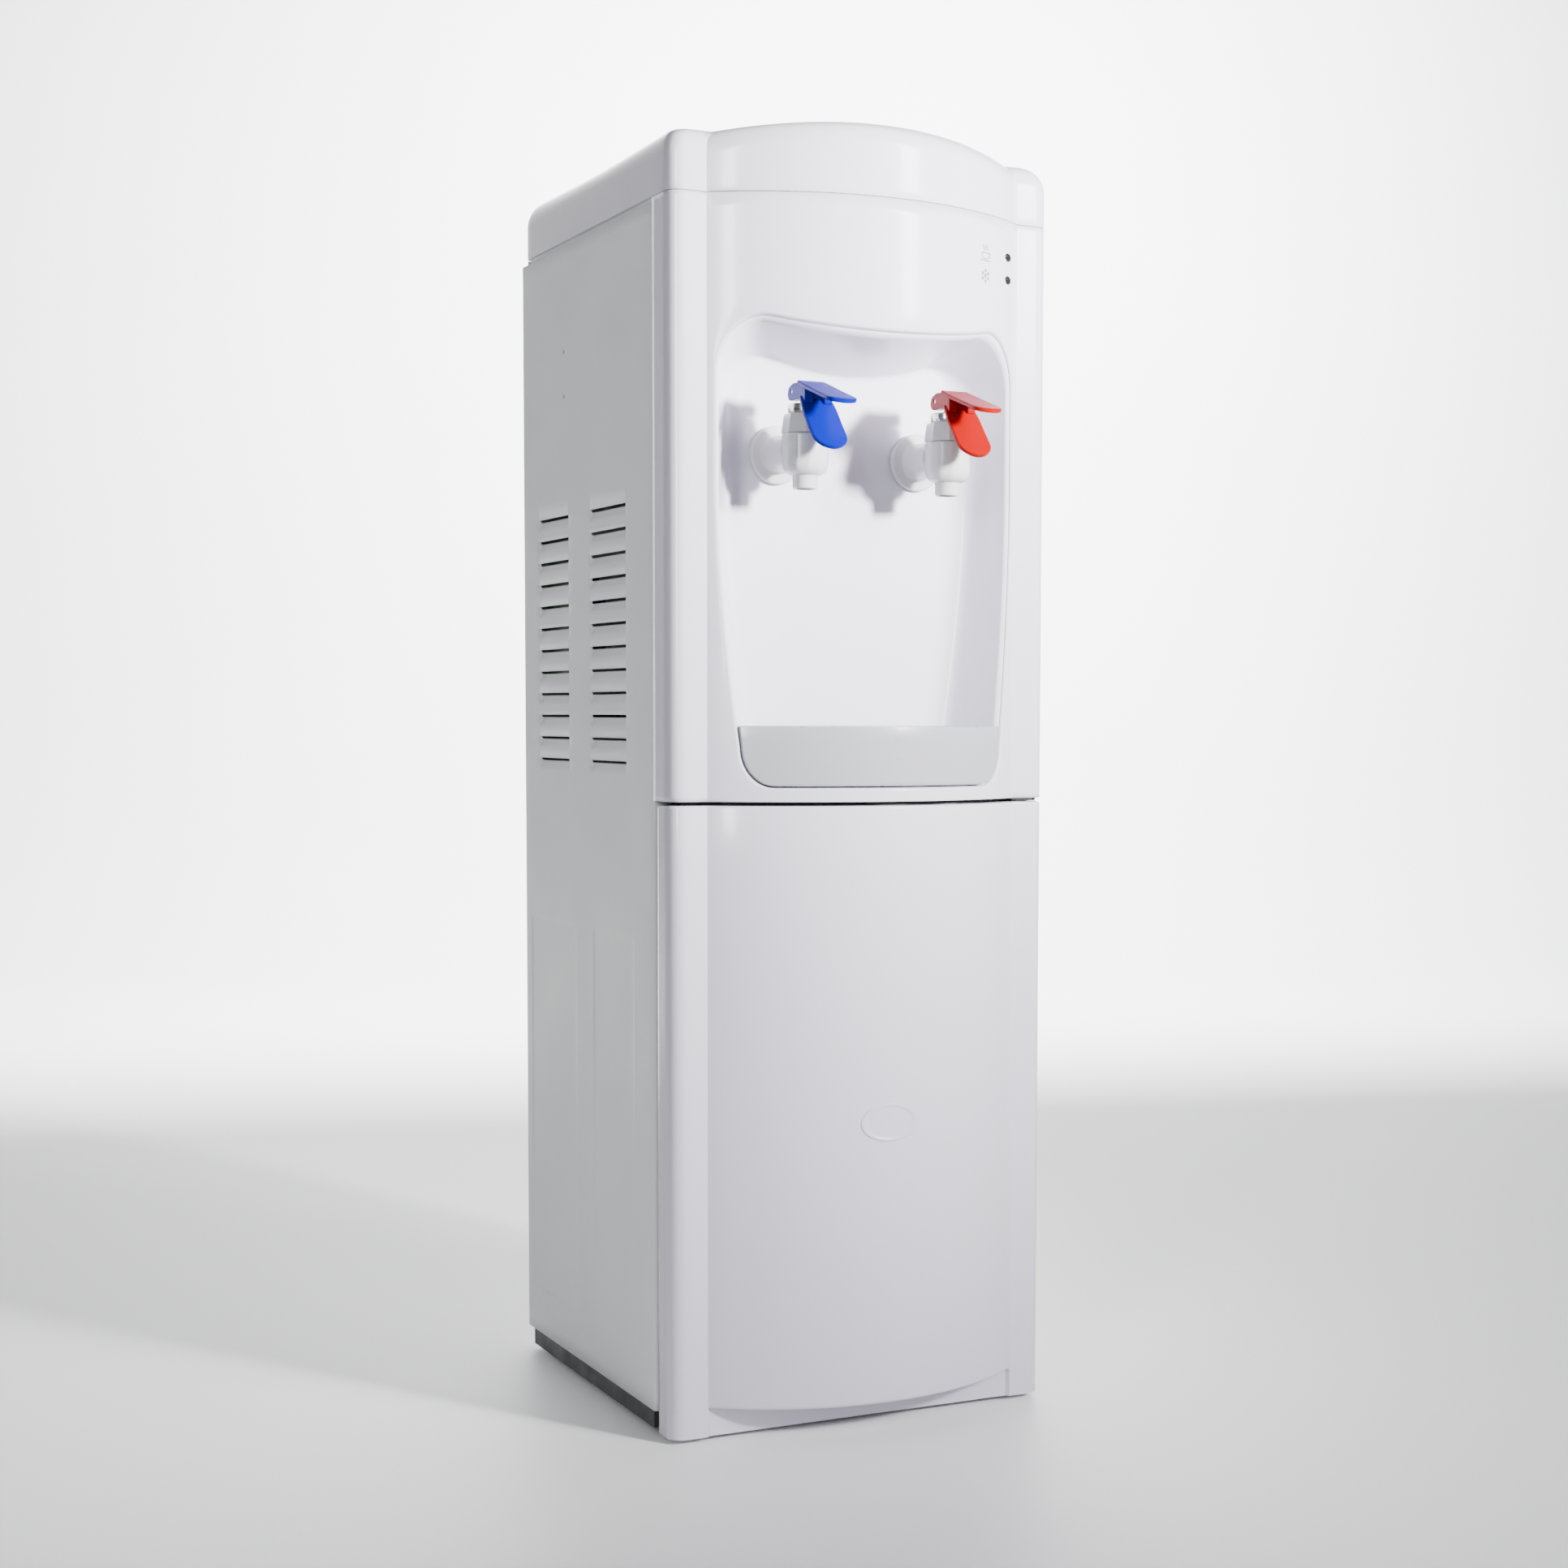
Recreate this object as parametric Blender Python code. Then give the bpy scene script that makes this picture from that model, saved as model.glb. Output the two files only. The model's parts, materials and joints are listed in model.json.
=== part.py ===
"""A free-standing bottled-water dispenser. Metres, +Z up, the front faces -Y, the origin is on the floor
at the middle of the whole object. Distances called depth run back from the flat front of the corner columns."""

import math

import bmesh
import bpy
from mathutils import Vector

MM = 0.001

# Driving dimensions of the cabinet.
WIDTH = 310 * MM
DEPTH = 329.3 * MM
LEVER_REACH = 88.0 * MM
BOW = 43.5 * MM
BOW_HALF_WIDTH = 126.8 * MM
CORNER_RADIUS = 12 * MM
FOOT_HEIGHT = 4 * MM
DOOR_TOP = 467.9 * MM
PANEL_BOTTOM = 470.7 * MM
PANEL_TOP = 903.7 * MM
COVER_BOTTOM = 904.2 * MM
COVER_TOP = 950 * MM
CROWN_TOP = 959 * MM
KICK_TOP = 25 * MM
SKIN = 3 * MM
SHEET = 1.2 * MM
GAP = 0.3 * MM
PANEL_FRONT = 34.6 * MM
PANEL_RETURN = 34.3 * MM
DOOR_RETURN = 26.5 * MM
BACK_FACE = 318.2 * MM

# The alcove, the tray in it and the taps.
ALCOVE_HALF_WIDTH = 121 * MM
ALCOVE_BOTTOM = 481 * MM
ALCOVE_BACK = 35 * MM
TRAY_TOP = 525.6 * MM
TAP_X = 58 * MM
TAP_Z = 725 * MM
TAP_DEPTH = -18.4 * MM
LEVER_PIN_Z = 765 * MM

# The bottle well and the tanks.
WELL_DEPTH = 170 * MM
WELL_RADIUS = 122 * MM
TANK_DEPTH = 165 * MM
HOT_X = 58 * MM
HOT_DEPTH = 120 * MM

HINGE_X = 147 * MM
HINGE_DEPTH = 20 * MM

HALF = WIDTH / 2
FRONT = -(DEPTH - LEVER_REACH) / 2
BOW_RADIUS = (BOW_HALF_WIDTH**2 + BOW**2) / (2 * BOW)
BOW_CENTRE = BOW_RADIUS - BOW
ROUND = 24

LOOKS = {
    "shell": ((0.70, 0.69, 0.74), 0.22, 0.0),
    "steel_paint": ((0.47, 0.48, 0.48), 0.42, 0.0),
    "liner": ((0.82, 0.81, 0.85), 0.2, 0.0),
    "tray": ((0.52, 0.53, 0.56), 0.3, 0.0),
    "tap": ((0.72, 0.72, 0.73), 0.28, 0.0),
    "blue": ((0.0, 0.03, 0.65), 0.25, 0.0),
    "red": ((0.68, 0.0, 0.01), 0.25, 0.0),
    "chrome": ((0.7, 0.68, 0.66), 0.15, 1.0),
    "stainless": ((0.62, 0.62, 0.62), 0.32, 1.0),
    "aluminium": ((0.7, 0.71, 0.73), 0.38, 1.0),
    "rubber": ((0.02, 0.02, 0.02), 0.7, 0.0),
    "silicone": ((0.75, 0.74, 0.7), 0.5, 0.0),
    "dark": ((0.02, 0.02, 0.025), 0.35, 0.0),
    "foam": ((0.85, 0.82, 0.7), 0.95, 0.0),
    "board": ((0.03, 0.22, 0.08), 0.4, 0.0),
    "ceramic": ((0.85, 0.85, 0.83), 0.5, 0.0),
}


def at(depth):
    """The Y of a depth behind the flat front of the columns."""
    return FRONT + depth


def clear_scene():
    for found in list(bpy.data.objects):
        bpy.data.objects.remove(found, do_unlink=True)


def look(name):
    made = bpy.data.materials.get(name)
    if made:
        return made
    colour, roughness, metallic = LOOKS[name]
    made = bpy.data.materials.new(name)
    made.use_nodes = True
    shader = made.node_tree.nodes["Principled BSDF"]
    shader.inputs["Base Color"].default_value = (*colour, 1.0)
    shader.inputs["Roughness"].default_value = roughness
    shader.inputs["Metallic"].default_value = metallic
    return made


def solid(name, shape, finish=None):
    """An object of the bmesh shape. Without a finish it is a hidden cutter or helper."""
    bmesh.ops.recalc_face_normals(shape, faces=shape.faces)
    mesh = bpy.data.meshes.new(name)
    shape.to_mesh(mesh)
    shape.free()
    made = bpy.data.objects.new(name, mesh)
    bpy.context.scene.collection.objects.link(made)
    if finish:
        mesh.materials.append(look(finish))
        mesh.shade_smooth()
        mesh.set_sharp_from_angle(angle=math.radians(32))
    else:
        made.hide_render = True
        made.display_type = "WIRE"
    return made


def boolean(target, other, operation):
    step = target.modifiers.new(other.name, "BOOLEAN")
    step.operation = operation
    step.object = other
    step.solver = "EXACT"


def cut(target, *cutters):
    for cutter in cutters:
        boolean(target, cutter, "DIFFERENCE")


def join(target, *helpers):
    for helper in helpers:
        boolean(target, helper, "UNION")


def keep_inside(target, other):
    boolean(target, other, "INTERSECT")


def move_origin(made, point):
    """Puts the object's origin on its joint's axis and leaves the shape where it is."""
    for vertex in made.data.vertices:
        vertex.co -= Vector(point)
    made.location = point


def loft(name, rings, finish=None):
    """A closed shape through rings of equally many points, with a flat cap on each end."""
    shape = bmesh.new()
    rows = [[shape.verts.new(point) for point in ring] for ring in rings]
    count = len(rows[0])
    for low, high in zip(rows, rows[1:]):
        for i in range(count):
            j = (i + 1) % count
            shape.faces.new((low[i], low[j], high[j], high[i]))
    shape.faces.new(rows[0])
    shape.faces.new(rows[-1])
    return solid(name, shape, finish)


def prism(name, outline, low, high, finish=None, axis="Z"):
    """The outline, in the two axes other than this one, carried from low to high along the axis."""
    place = {
        "X": lambda a, b, c: (c, a, b),
        "Y": lambda a, b, c: (a, c, b),
        "Z": lambda a, b, c: (a, b, c),
    }[axis]
    return loft(name, [[place(a, b, c) for a, b in outline] for c in (low, high)], finish)


def block(name, x, depth, z, finish=None):
    """A box from its ranges in x, depth and z."""
    outline = [(x[0], at(depth[0])), (x[1], at(depth[0])), (x[1], at(depth[1])), (x[0], at(depth[1]))]
    return prism(name, outline, z[0], z[1], finish)


def circle(radius, centre=(0, 0), count=ROUND, turn=0.0):
    angles = [turn + math.tau * i / count for i in range(count)]
    return [(centre[0] + radius * math.cos(a), centre[1] + radius * math.sin(a)) for a in angles]


def turned(name, profile, centre, finish=None, axis="Z", count=ROUND):
    """The closed profile of (radius, height) points turned about an axis through the centre."""
    shape = bmesh.new()
    rows = []
    for radius, height in profile:
        ring = [(0.0, 0.0)] if radius == 0 else circle(radius, count=count)
        row = []
        for a, b in ring:
            local = {"X": (height, a, b), "Y": (a, height, b), "Z": (a, b, height)}[axis]
            row.append(shape.verts.new(Vector(local) + Vector(centre)))
        rows.append(row)
    for i, row in enumerate(rows):
        after = rows[(i + 1) % len(rows)]
        if len(row) == 1 and len(after) == 1:
            continue
        for k in range(count):
            j = (k + 1) % count
            if len(row) == 1:
                shape.faces.new((row[0], after[j], after[k]))
            elif len(after) == 1:
                shape.faces.new((row[k], row[j], after[0]))
            else:
                shape.faces.new((row[k], row[j], after[j], after[k]))
    return solid(name, shape, finish)


def rod(name, radius, low, high, centre, finish=None, axis="Z", count=ROUND):
    """A round bar along an axis, from low to high as measured from the centre point."""
    along = "XYZ".index(axis)
    across = [value for k, value in enumerate(centre) if k != along]
    outline = circle(radius, across, count)
    return prism(name, outline, centre[along] + low, centre[along] + high, finish, axis)


def ring(name, inner, outer, low, high, centre, finish=None, axis="Z", count=ROUND):
    return turned(
        name, [(inner, low), (outer, low), (outer, high), (inner, high)], centre, finish, axis, count
    )


def hose(name, points, radius, finish):
    """A round tube with capped ends along a smooth curve through the points."""
    route = []
    ends = [points[0], *points, points[-1]]
    for a, b, c, d in zip(ends, ends[1:], ends[2:], ends[3:]):
        a, b, c, d = map(Vector, (a, b, c, d))
        for k in range(5):
            t = k / 5
            route.append(0.5 * (2 * b + (c - a) * t + (2 * a - 5 * b + 4 * c - d) * t**2
                                + (3 * b - a - 3 * c + d) * t**3))
    route.append(Vector(points[-1]))
    curve = bpy.data.curves.new(name, "CURVE")
    curve.dimensions = "3D"
    curve.bevel_depth = radius
    curve.bevel_resolution = 2
    curve.use_fill_caps = True
    spline = curve.splines.new("POLY")
    spline.points.add(len(route) - 1)
    for point, place in zip(spline.points, route):
        point.co = (*place, 1.0)
    made = bpy.data.objects.new(name, curve)
    bpy.context.scene.collection.objects.link(made)
    curve.materials.append(look(finish))
    return made


def front_line(inset, rear, steps=18):
    """The plan outline of the front from the left rear end to the right rear end, set in by inset."""
    radius = CORNER_RADIUS - inset
    corner = [
        (
            -(HALF - CORNER_RADIUS) - radius * math.cos(a),
            at(CORNER_RADIUS) - radius * math.sin(a),
        )
        for a in [math.pi / 2 * k / 5 for k in range(6)]
    ]
    bow = BOW_RADIUS - inset
    edge = math.acos((BOW_CENTRE - inset) / bow)
    arc = [
        (bow * math.sin(a), at(BOW_CENTRE) - bow * math.cos(a))
        for a in [edge * (2 * k / steps - 1) for k in range(steps + 1)]
    ]
    right = [(-x, y) for x, y in reversed(corner)]
    return [(-(HALF - inset), rear), *corner, *arc, *right, (HALF - inset, rear)]


def bow_line(inset, rear, steps=18):
    """The bowed middle only, closed by a straight line at the rear."""
    bow = BOW_RADIUS - inset
    edge = math.asin(BOW_HALF_WIDTH / bow)
    arc = [
        (bow * math.sin(a), at(BOW_CENTRE) - bow * math.cos(a))
        for a in [edge * (2 * k / steps - 1) for k in range(steps + 1)]
    ]
    return [*arc, (BOW_HALF_WIDTH, rear), (-BOW_HALF_WIDTH, rear)]


def alcove_outline(depth, grow):
    """The alcove's outline in x and z at a depth. It narrows and its ceiling comes down towards the back."""
    shift = grow - 0.6 * (depth + 5 * MM)
    ceiling = 809.5 * MM - 0.3 * (depth + BOW) + grow
    floor = ALCOVE_BOTTOM - grow
    foot_radius = 29 * MM
    head_radius = (39 if depth < 0 else 28) * MM
    slope = math.radians(17.5)
    widest = ALCOVE_HALF_WIDTH + shift

    def half_width(z):
        fall = max(0.0, (694 * MM - z) / (190 * MM))
        return widest - 20 * MM * fall**1.6

    low = floor + foot_radius
    foot_x = half_width(low) - foot_radius
    foot = [
        (foot_x + foot_radius * math.cos(a), low + foot_radius * math.sin(a))
        for a in [math.radians(-90 + 90 * k / 5) for k in range(6)]
    ]
    reach = widest - head_radius - head_radius * math.sin(slope)
    rise = math.tan(slope) / (2 * reach)
    head_z = ceiling + rise * reach**2 - head_radius * math.cos(slope)
    side = [(half_width(z), z) for z in [low + (head_z - low) * k / 9 for k in range(1, 9)]]
    turn = math.pi / 2 + slope
    head = [
        (widest - head_radius + head_radius * math.cos(a), head_z + head_radius * math.sin(a))
        for a in [turn * k / 8 for k in range(9)]
    ]
    crest = [(reach * (1 - k / 4), ceiling + rise * (reach * (1 - k / 4)) ** 2) for k in range(1, 4)]
    right = [*foot, *side, *head, *crest]
    left = [(-x, z) for x, z in reversed(right)]
    return [(0.0, floor), *right, (0.0, ceiling), *left]


def alcove_space(name, grow, front, back, finish=None):
    return loft(name, [[(x, at(d), z) for x, z in alcove_outline(d, grow)] for d in (front, back)], finish)


def make_base():
    tray = block("base_tray", (-153.4 * MM, 153.4 * MM), (40 * MM, 316.5 * MM), (4 * MM, 26 * MM), "dark")
    hollow = block("base_hollow", (-150.4 * MM, 150.4 * MM), (43 * MM, 313.5 * MM), (7 * MM, 40 * MM))
    cut(tray, hollow)
    for side, x in (("left", -110 * MM), ("right", 110 * MM)):
        for end, depth in (("front", 65 * MM), ("rear", 290 * MM)):
            turned(
                f"foot_{end}_{side}",
                [(0, 0), (13 * MM, 0), (15 * MM, 3.7 * MM), (0, 3.7 * MM)],
                (x, at(depth), 0),
                "rubber",
            )


def louvre_slots(name, x):
    """One cutter of all the slits in a side panel: two columns of twelve."""
    shape = bmesh.new()
    for first, last in ((89.5 * MM, 169 * MM), (217 * MM, 290 * MM)):
        for row in range(12):
            z = 498 * MM + 17.5 * MM * row
            made = bmesh.ops.create_cube(shape, size=1.0)["verts"]
            bmesh.ops.scale(shape, vec=(20 * MM, last - first, 4.4 * MM), verts=made)
            bmesh.ops.translate(shape, vec=(x, at((first + last) / 2), z - 2.2 * MM), verts=made)
    return solid(name, shape)


def make_side_panels():
    for side, sign in (("left", -1), ("right", 1)):
        corner = [
            (HALF, PANEL_FRONT), (HALF, DEPTH), (HALF - 12 * MM, DEPTH), (HALF - 12 * MM, DEPTH - SHEET),
            (HALF - SHEET, DEPTH - SHEET), (HALF - SHEET, PANEL_FRONT + SHEET),
            (HALF - 14 * MM, PANEL_FRONT + SHEET), (HALF - 14 * MM, PANEL_FRONT),
        ]
        outline = [(sign * x, at(depth)) for x, depth in corner]
        panel = prism(f"{side}_side_panel", outline, 4 * MM, PANEL_TOP, "steel_paint")
        cut(panel, louvre_slots(f"{side}_slots", sign * HALF))
        if side == "right":
            cut(panel, block("hinge_slot", (131 * MM, 153.4 * MM), (30 * MM, 40 * MM), (467.6 * MM, 470.9 * MM)))


def make_back_panel():
    panel = block(
        "back_panel", (-153.4 * MM, 153.4 * MM), (BACK_FACE - SHEET, BACK_FACE), (4 * MM, PANEL_TOP), "steel_paint"
    )
    shape = bmesh.new()
    for row in range(9):
        z = 750 * MM + 9 * MM * row
        half = math.sqrt((40 * MM) ** 2 - (z - 786 * MM) ** 2)
        made = bmesh.ops.create_cube(shape, size=1.0)["verts"]
        bmesh.ops.scale(shape, vec=(2 * half, 20 * MM, 5 * MM), verts=made)
        bmesh.ops.translate(shape, vec=(0, at(BACK_FACE), z), verts=made)
    cut(
        panel,
        solid("fan_slots", shape),
        block("inlet_hole", (-108.5 * MM, -81.5 * MM), (300 * MM, 340 * MM), (520.5 * MM, 540.5 * MM)),
        block("hot_switch_hole", (-104.4 * MM, -91.6 * MM), (300 * MM, 340 * MM), (579.6 * MM, 600.4 * MM)),
        block("cold_switch_hole", (-104.4 * MM, -91.6 * MM), (300 * MM, 340 * MM), (619.6 * MM, 640.4 * MM)),
        rod("drain_hole", 7 * MM, 300 * MM, 340 * MM, (HOT_X, at(0), 570 * MM), axis="Y"),
    )


def make_mid_shelf():
    shelf = block("mid_shelf", (-153.4 * MM, 153.4 * MM), (39 * MM, 316.5 * MM), (456 * MM, 458 * MM), "steel_paint")
    join(shelf, block("shelf_lip", (-130 * MM, 130 * MM), (39 * MM, 41 * MM), (457 * MM, 477 * MM)))


def cover_ring(inset, height, rise):
    """The cover's plan outline set in towards the well's centre, at a height that crowns over the bow."""
    rear = DEPTH
    turn = 18 * MM
    back = [
        (HALF - turn + turn * math.cos(a), at(rear - turn) + turn * math.sin(a))
        for a in [math.pi / 2 * k / 4 for k in range(5)]
    ]
    side = [(HALF, at(d * MM)) for d in range(80, 300, 30)]
    rear_line = [(x * MM, at(rear)) for x in range(105, -106, -30)]
    outline = [*front_line(0, at(50 * MM)), *side, *back, *rear_line]
    outline += [(-x, y) for x, y in reversed(back)] + [(-x, y) for x, y in reversed(side)]
    points = []
    for x, y in outline:
        out = Vector((x, y - at(WELL_DEPTH)))
        share = 1 - inset / out.length
        crown = max(0.0, 1 - (x / BOW_HALF_WIDTH) ** 2) if y < at(0) else 0.0
        points.append((x * share, at(WELL_DEPTH) + out.y * share, height + rise * crown))
    return points


def well_ring(radius, height):
    """A ring round the bottle well with a point in line with each point of the cover's outline."""
    points = []
    for x, y, _ in cover_ring(0, 0, 0):
        out = Vector((x, y - at(WELL_DEPTH))).normalized()
        points.append((out.x * radius, at(WELL_DEPTH) + out.y * radius, height))
    return points


def make_top_cover():
    shoulder = 20 * MM
    rise = CROWN_TOP - COVER_TOP
    spring_line = COVER_TOP - shoulder
    outer = [cover_ring(0, COVER_BOTTOM, 0), cover_ring(0, spring_line, rise)]
    for k in range(1, 6):
        a = math.pi / 2 * k / 5
        outer.append(
            cover_ring(shoulder * (1 - math.cos(a)), spring_line + shoulder * math.sin(a), rise)
        )
    well = [(WELL_RADIUS, COVER_TOP), (WELL_RADIUS - 4 * MM, COVER_TOP - 3 * MM), (84 * MM, 914 * MM),
            (80 * MM, 912 * MM), (62 * MM, 912 * MM)]
    outer += [well_ring(radius, height) for radius, height in well]
    inner = [well_ring(62 * MM, 909 * MM), well_ring(81 * MM, 909 * MM), well_ring(WELL_RADIUS, COVER_TOP - 9 * MM)]
    inner += [cover_ring(shoulder, COVER_TOP - 9 * MM, 0), cover_ring(SKIN, spring_line, 0)]
    inner.append(cover_ring(SKIN, COVER_BOTTOM, 0))
    rows = outer + inner
    shape = bmesh.new()
    rows = [[shape.verts.new(point) for point in row] for row in rows]
    count = len(rows[0])
    for row, after in zip(rows, rows[1:] + rows[:1]):
        for i in range(count):
            j = (i + 1) % count
            shape.faces.new((row[i], row[j], after[j], after[i]))
    solid("top_cover", shape, "shell")


def make_bottle_seat():
    seat = turned("bottle_seat", seat_profile(), (0, at(WELL_DEPTH), 0), "liner")
    cut(
        seat,
        rod("probe_ports_x", 4 * MM, -20 * MM, 20 * MM, (0, at(WELL_DEPTH), 906 * MM), axis="X", count=12),
        rod("probe_ports_y", 4 * MM, -20 * MM, 20 * MM, (0, at(WELL_DEPTH), 906 * MM), axis="Y", count=12),
    )


def seat_profile():
    """Flange, funnel and hollow probe, as one closed outline of radius and height."""
    outline = [
        (0, 931), (9, 930), (13, 926), (14, 920), (14, 892), (40.5, 892), (55, 912.3), (57, 915.3), (74, 915.3),
        (74, 912.3), (60, 912.3), (57, 909), (43, 889), (11, 889), (11, 924), (8, 927.5), (0, 928),
    ]
    return [(radius * MM, height * MM) for radius, height in outline]


def make_upper_panel():
    outer = front_line(0, at(PANEL_RETURN))
    inner = front_line(SKIN, at(PANEL_RETURN))
    panel = prism("front_upper_panel", outer + inner[::-1], PANEL_BOTTOM, PANEL_TOP, "shell")
    cut(panel, alcove_space("alcove_cut", 0.0, -64 * MM, ALCOVE_BACK))
    for name, z in (("hot", 876.8 * MM), ("cold", 859.9 * MM)):
        lens_depth = BOW_CENTRE - math.sqrt(BOW_RADIUS**2 - (113 * MM) ** 2)
        cut(
            panel,
            rod(f"{name}_lens_hole", 3.6 * MM, -10 * MM, 14 * MM, (113 * MM, at(lens_depth), z), axis="Y", count=16),
        )
        rod(
            f"{name}_indicator_lens", 3.2 * MM, 0.6 * MM, 8 * MM, (113 * MM, at(lens_depth), z), "dark", "Y", 16
        )
    block("indicator_board", (96 * MM, 130 * MM), (13 * MM, 14.6 * MM), (850 * MM, 887 * MM), "board")


def make_alcove_liner():
    wall = 2.5 * MM
    liner = alcove_space("alcove_liner", wall, -62 * MM, ALCOVE_BACK + wall, "liner")
    cut(liner, alcove_space("liner_hollow", 0.0, -66 * MM, ALCOVE_BACK))
    keep_inside(liner, prism("behind_front", front_line(SKIN + GAP, at(60 * MM)), 400 * MM, 895 * MM))
    for side, x in (("cold", -TAP_X), ("hot", TAP_X)):
        cut(liner, rod(f"{side}_tap_hole", 8.4 * MM, 20 * MM, 60 * MM, (x, at(0), TAP_Z), axis="Y"))


def make_drip_tray():
    tray = alcove_space("drip_tray", -1.0 * MM, -62 * MM, 32.5 * MM, "tray")
    keep_inside(tray, prism("tray_outline", bow_line(0.0, at(50 * MM)), 470 * MM, TRAY_TOP))
    ledge = 521.3 * MM
    basin = alcove_space("tray_basin", -6.0 * MM, -58 * MM, 28 * MM)
    keep_inside(basin, prism("basin_outline", bow_line(6 * MM, at(50 * MM)), 485 * MM, 560 * MM))
    seat = alcove_space("grille_seat", -3.5 * MM, -58 * MM, 30 * MM)
    keep_inside(seat, prism("seat_outline", bow_line(3.5 * MM, at(50 * MM)), ledge, 560 * MM))
    cut(tray, basin, seat)
    grille = alcove_space("drip_grille", -3.9 * MM, -58 * MM, 29.6 * MM, "tray")
    keep_inside(grille, prism("grille_outline", bow_line(3.9 * MM, at(50 * MM)), ledge + GAP, ledge + 3.3 * MM))
    shape = bmesh.new()
    for k in range(-7, 8):
        x = 12 * MM * k
        front = BOW_CENTRE - math.sqrt(BOW_RADIUS**2 - x * x) + 12 * MM
        made = bmesh.ops.create_cube(shape, size=1.0)["verts"]
        bmesh.ops.scale(shape, vec=(5 * MM, 22 * MM - front, 20 * MM), verts=made)
        bmesh.ops.translate(shape, vec=(x, at((22 * MM + front) / 2), ledge), verts=made)
    cut(grille, solid("grille_slots", shape))


def make_door():
    door = prism("lower_door", front_line(0, at(DOOR_RETURN)), FOOT_HEIGHT, DOOR_TOP, "shell")
    kick = block("kick_space", (-BOW_HALF_WIDTH, BOW_HALF_WIDTH), (-80 * MM, 2.5 * MM), (-10 * MM, KICK_TOP))
    hollow = prism("door_hollow", front_line(SKIN, at(40 * MM)), KICK_TOP + SKIN, DOOR_TOP - SKIN)
    boss_top = block("boss_top", (137 * MM, 153 * MM), (11 * MM, 26.5 * MM), (449 * MM, DOOR_TOP - 1 * MM))
    foot_hollow = block("foot_hollow", (-130 * MM, 130 * MM), (5.5 * MM, 40 * MM), (7 * MM, KICK_TOP))
    cut(door, kick, hollow, foot_hollow)
    join(door, boss_top)
    for end, low, high in (("top", 455 * MM, 480 * MM), ("foot", 0.0, 17 * MM)):
        cut(door, rod(f"{end}_pin_hole", 2.85 * MM, low, high, (HINGE_X, at(HINGE_DEPTH), 0), count=16))
    badge_seat = badge_shape("badge_seat", 24.3 * MM, 14.8 * MM, -60 * MM, -42.3 * MM)
    cut(door, badge_seat)
    badge_shape("door_badge", 23.8 * MM, 14.3 * MM, -43.3 * MM, -42.6 * MM, "shell")
    block("door_liner", (-144 * MM, 144 * MM), (DOOR_RETURN + GAP, DOOR_RETURN + 1.8 * MM), (8 * MM, 463 * MM),
          "liner")
    gasket = block("door_gasket", (-146 * MM, 146 * MM), (28.6 * MM, 33.9 * MM), (7 * MM, 464 * MM), "rubber")
    cut(gasket, block("gasket_hole", (-138 * MM, 134 * MM), (20 * MM, 40 * MM), (15 * MM, 456 * MM)))
    block("door_strike", (-132 * MM, -104 * MM), (28.6 * MM, 30.1 * MM), (438 * MM, 454 * MM), "stainless")
    block("door_magnet", (-132 * MM, -104 * MM), (34 * MM, 44 * MM), (437.7 * MM, 455.7 * MM), "dark")


def badge_shape(name, half_width, half_height, front, back, finish=None):
    outline = [
        (half_width * math.cos(a), 235 * MM + half_height * math.sin(a))
        for a in [math.tau * k / 36 for k in range(36)]
    ]
    return prism(name, outline, at(front), at(back), finish, axis="Y")


def make_hinges():
    reach = (132 * MM, 153 * MM), (12 * MM, 60 * MM)
    upper = block("upper_hinge_bracket", *reach, (468.2 * MM, 470.3 * MM), "stainless")
    lower = block("lower_hinge_bracket", *reach, (2.0 * MM, 3.7 * MM), "stainless")
    pin_place = (HINGE_X, at(HINGE_DEPTH), 0)
    join(upper, rod("upper_pin", 2.5 * MM, 457 * MM, 469 * MM, pin_place, count=16))
    join(lower, rod("lower_pin", 2.5 * MM, 3 * MM, 15 * MM, pin_place, count=16))


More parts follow.
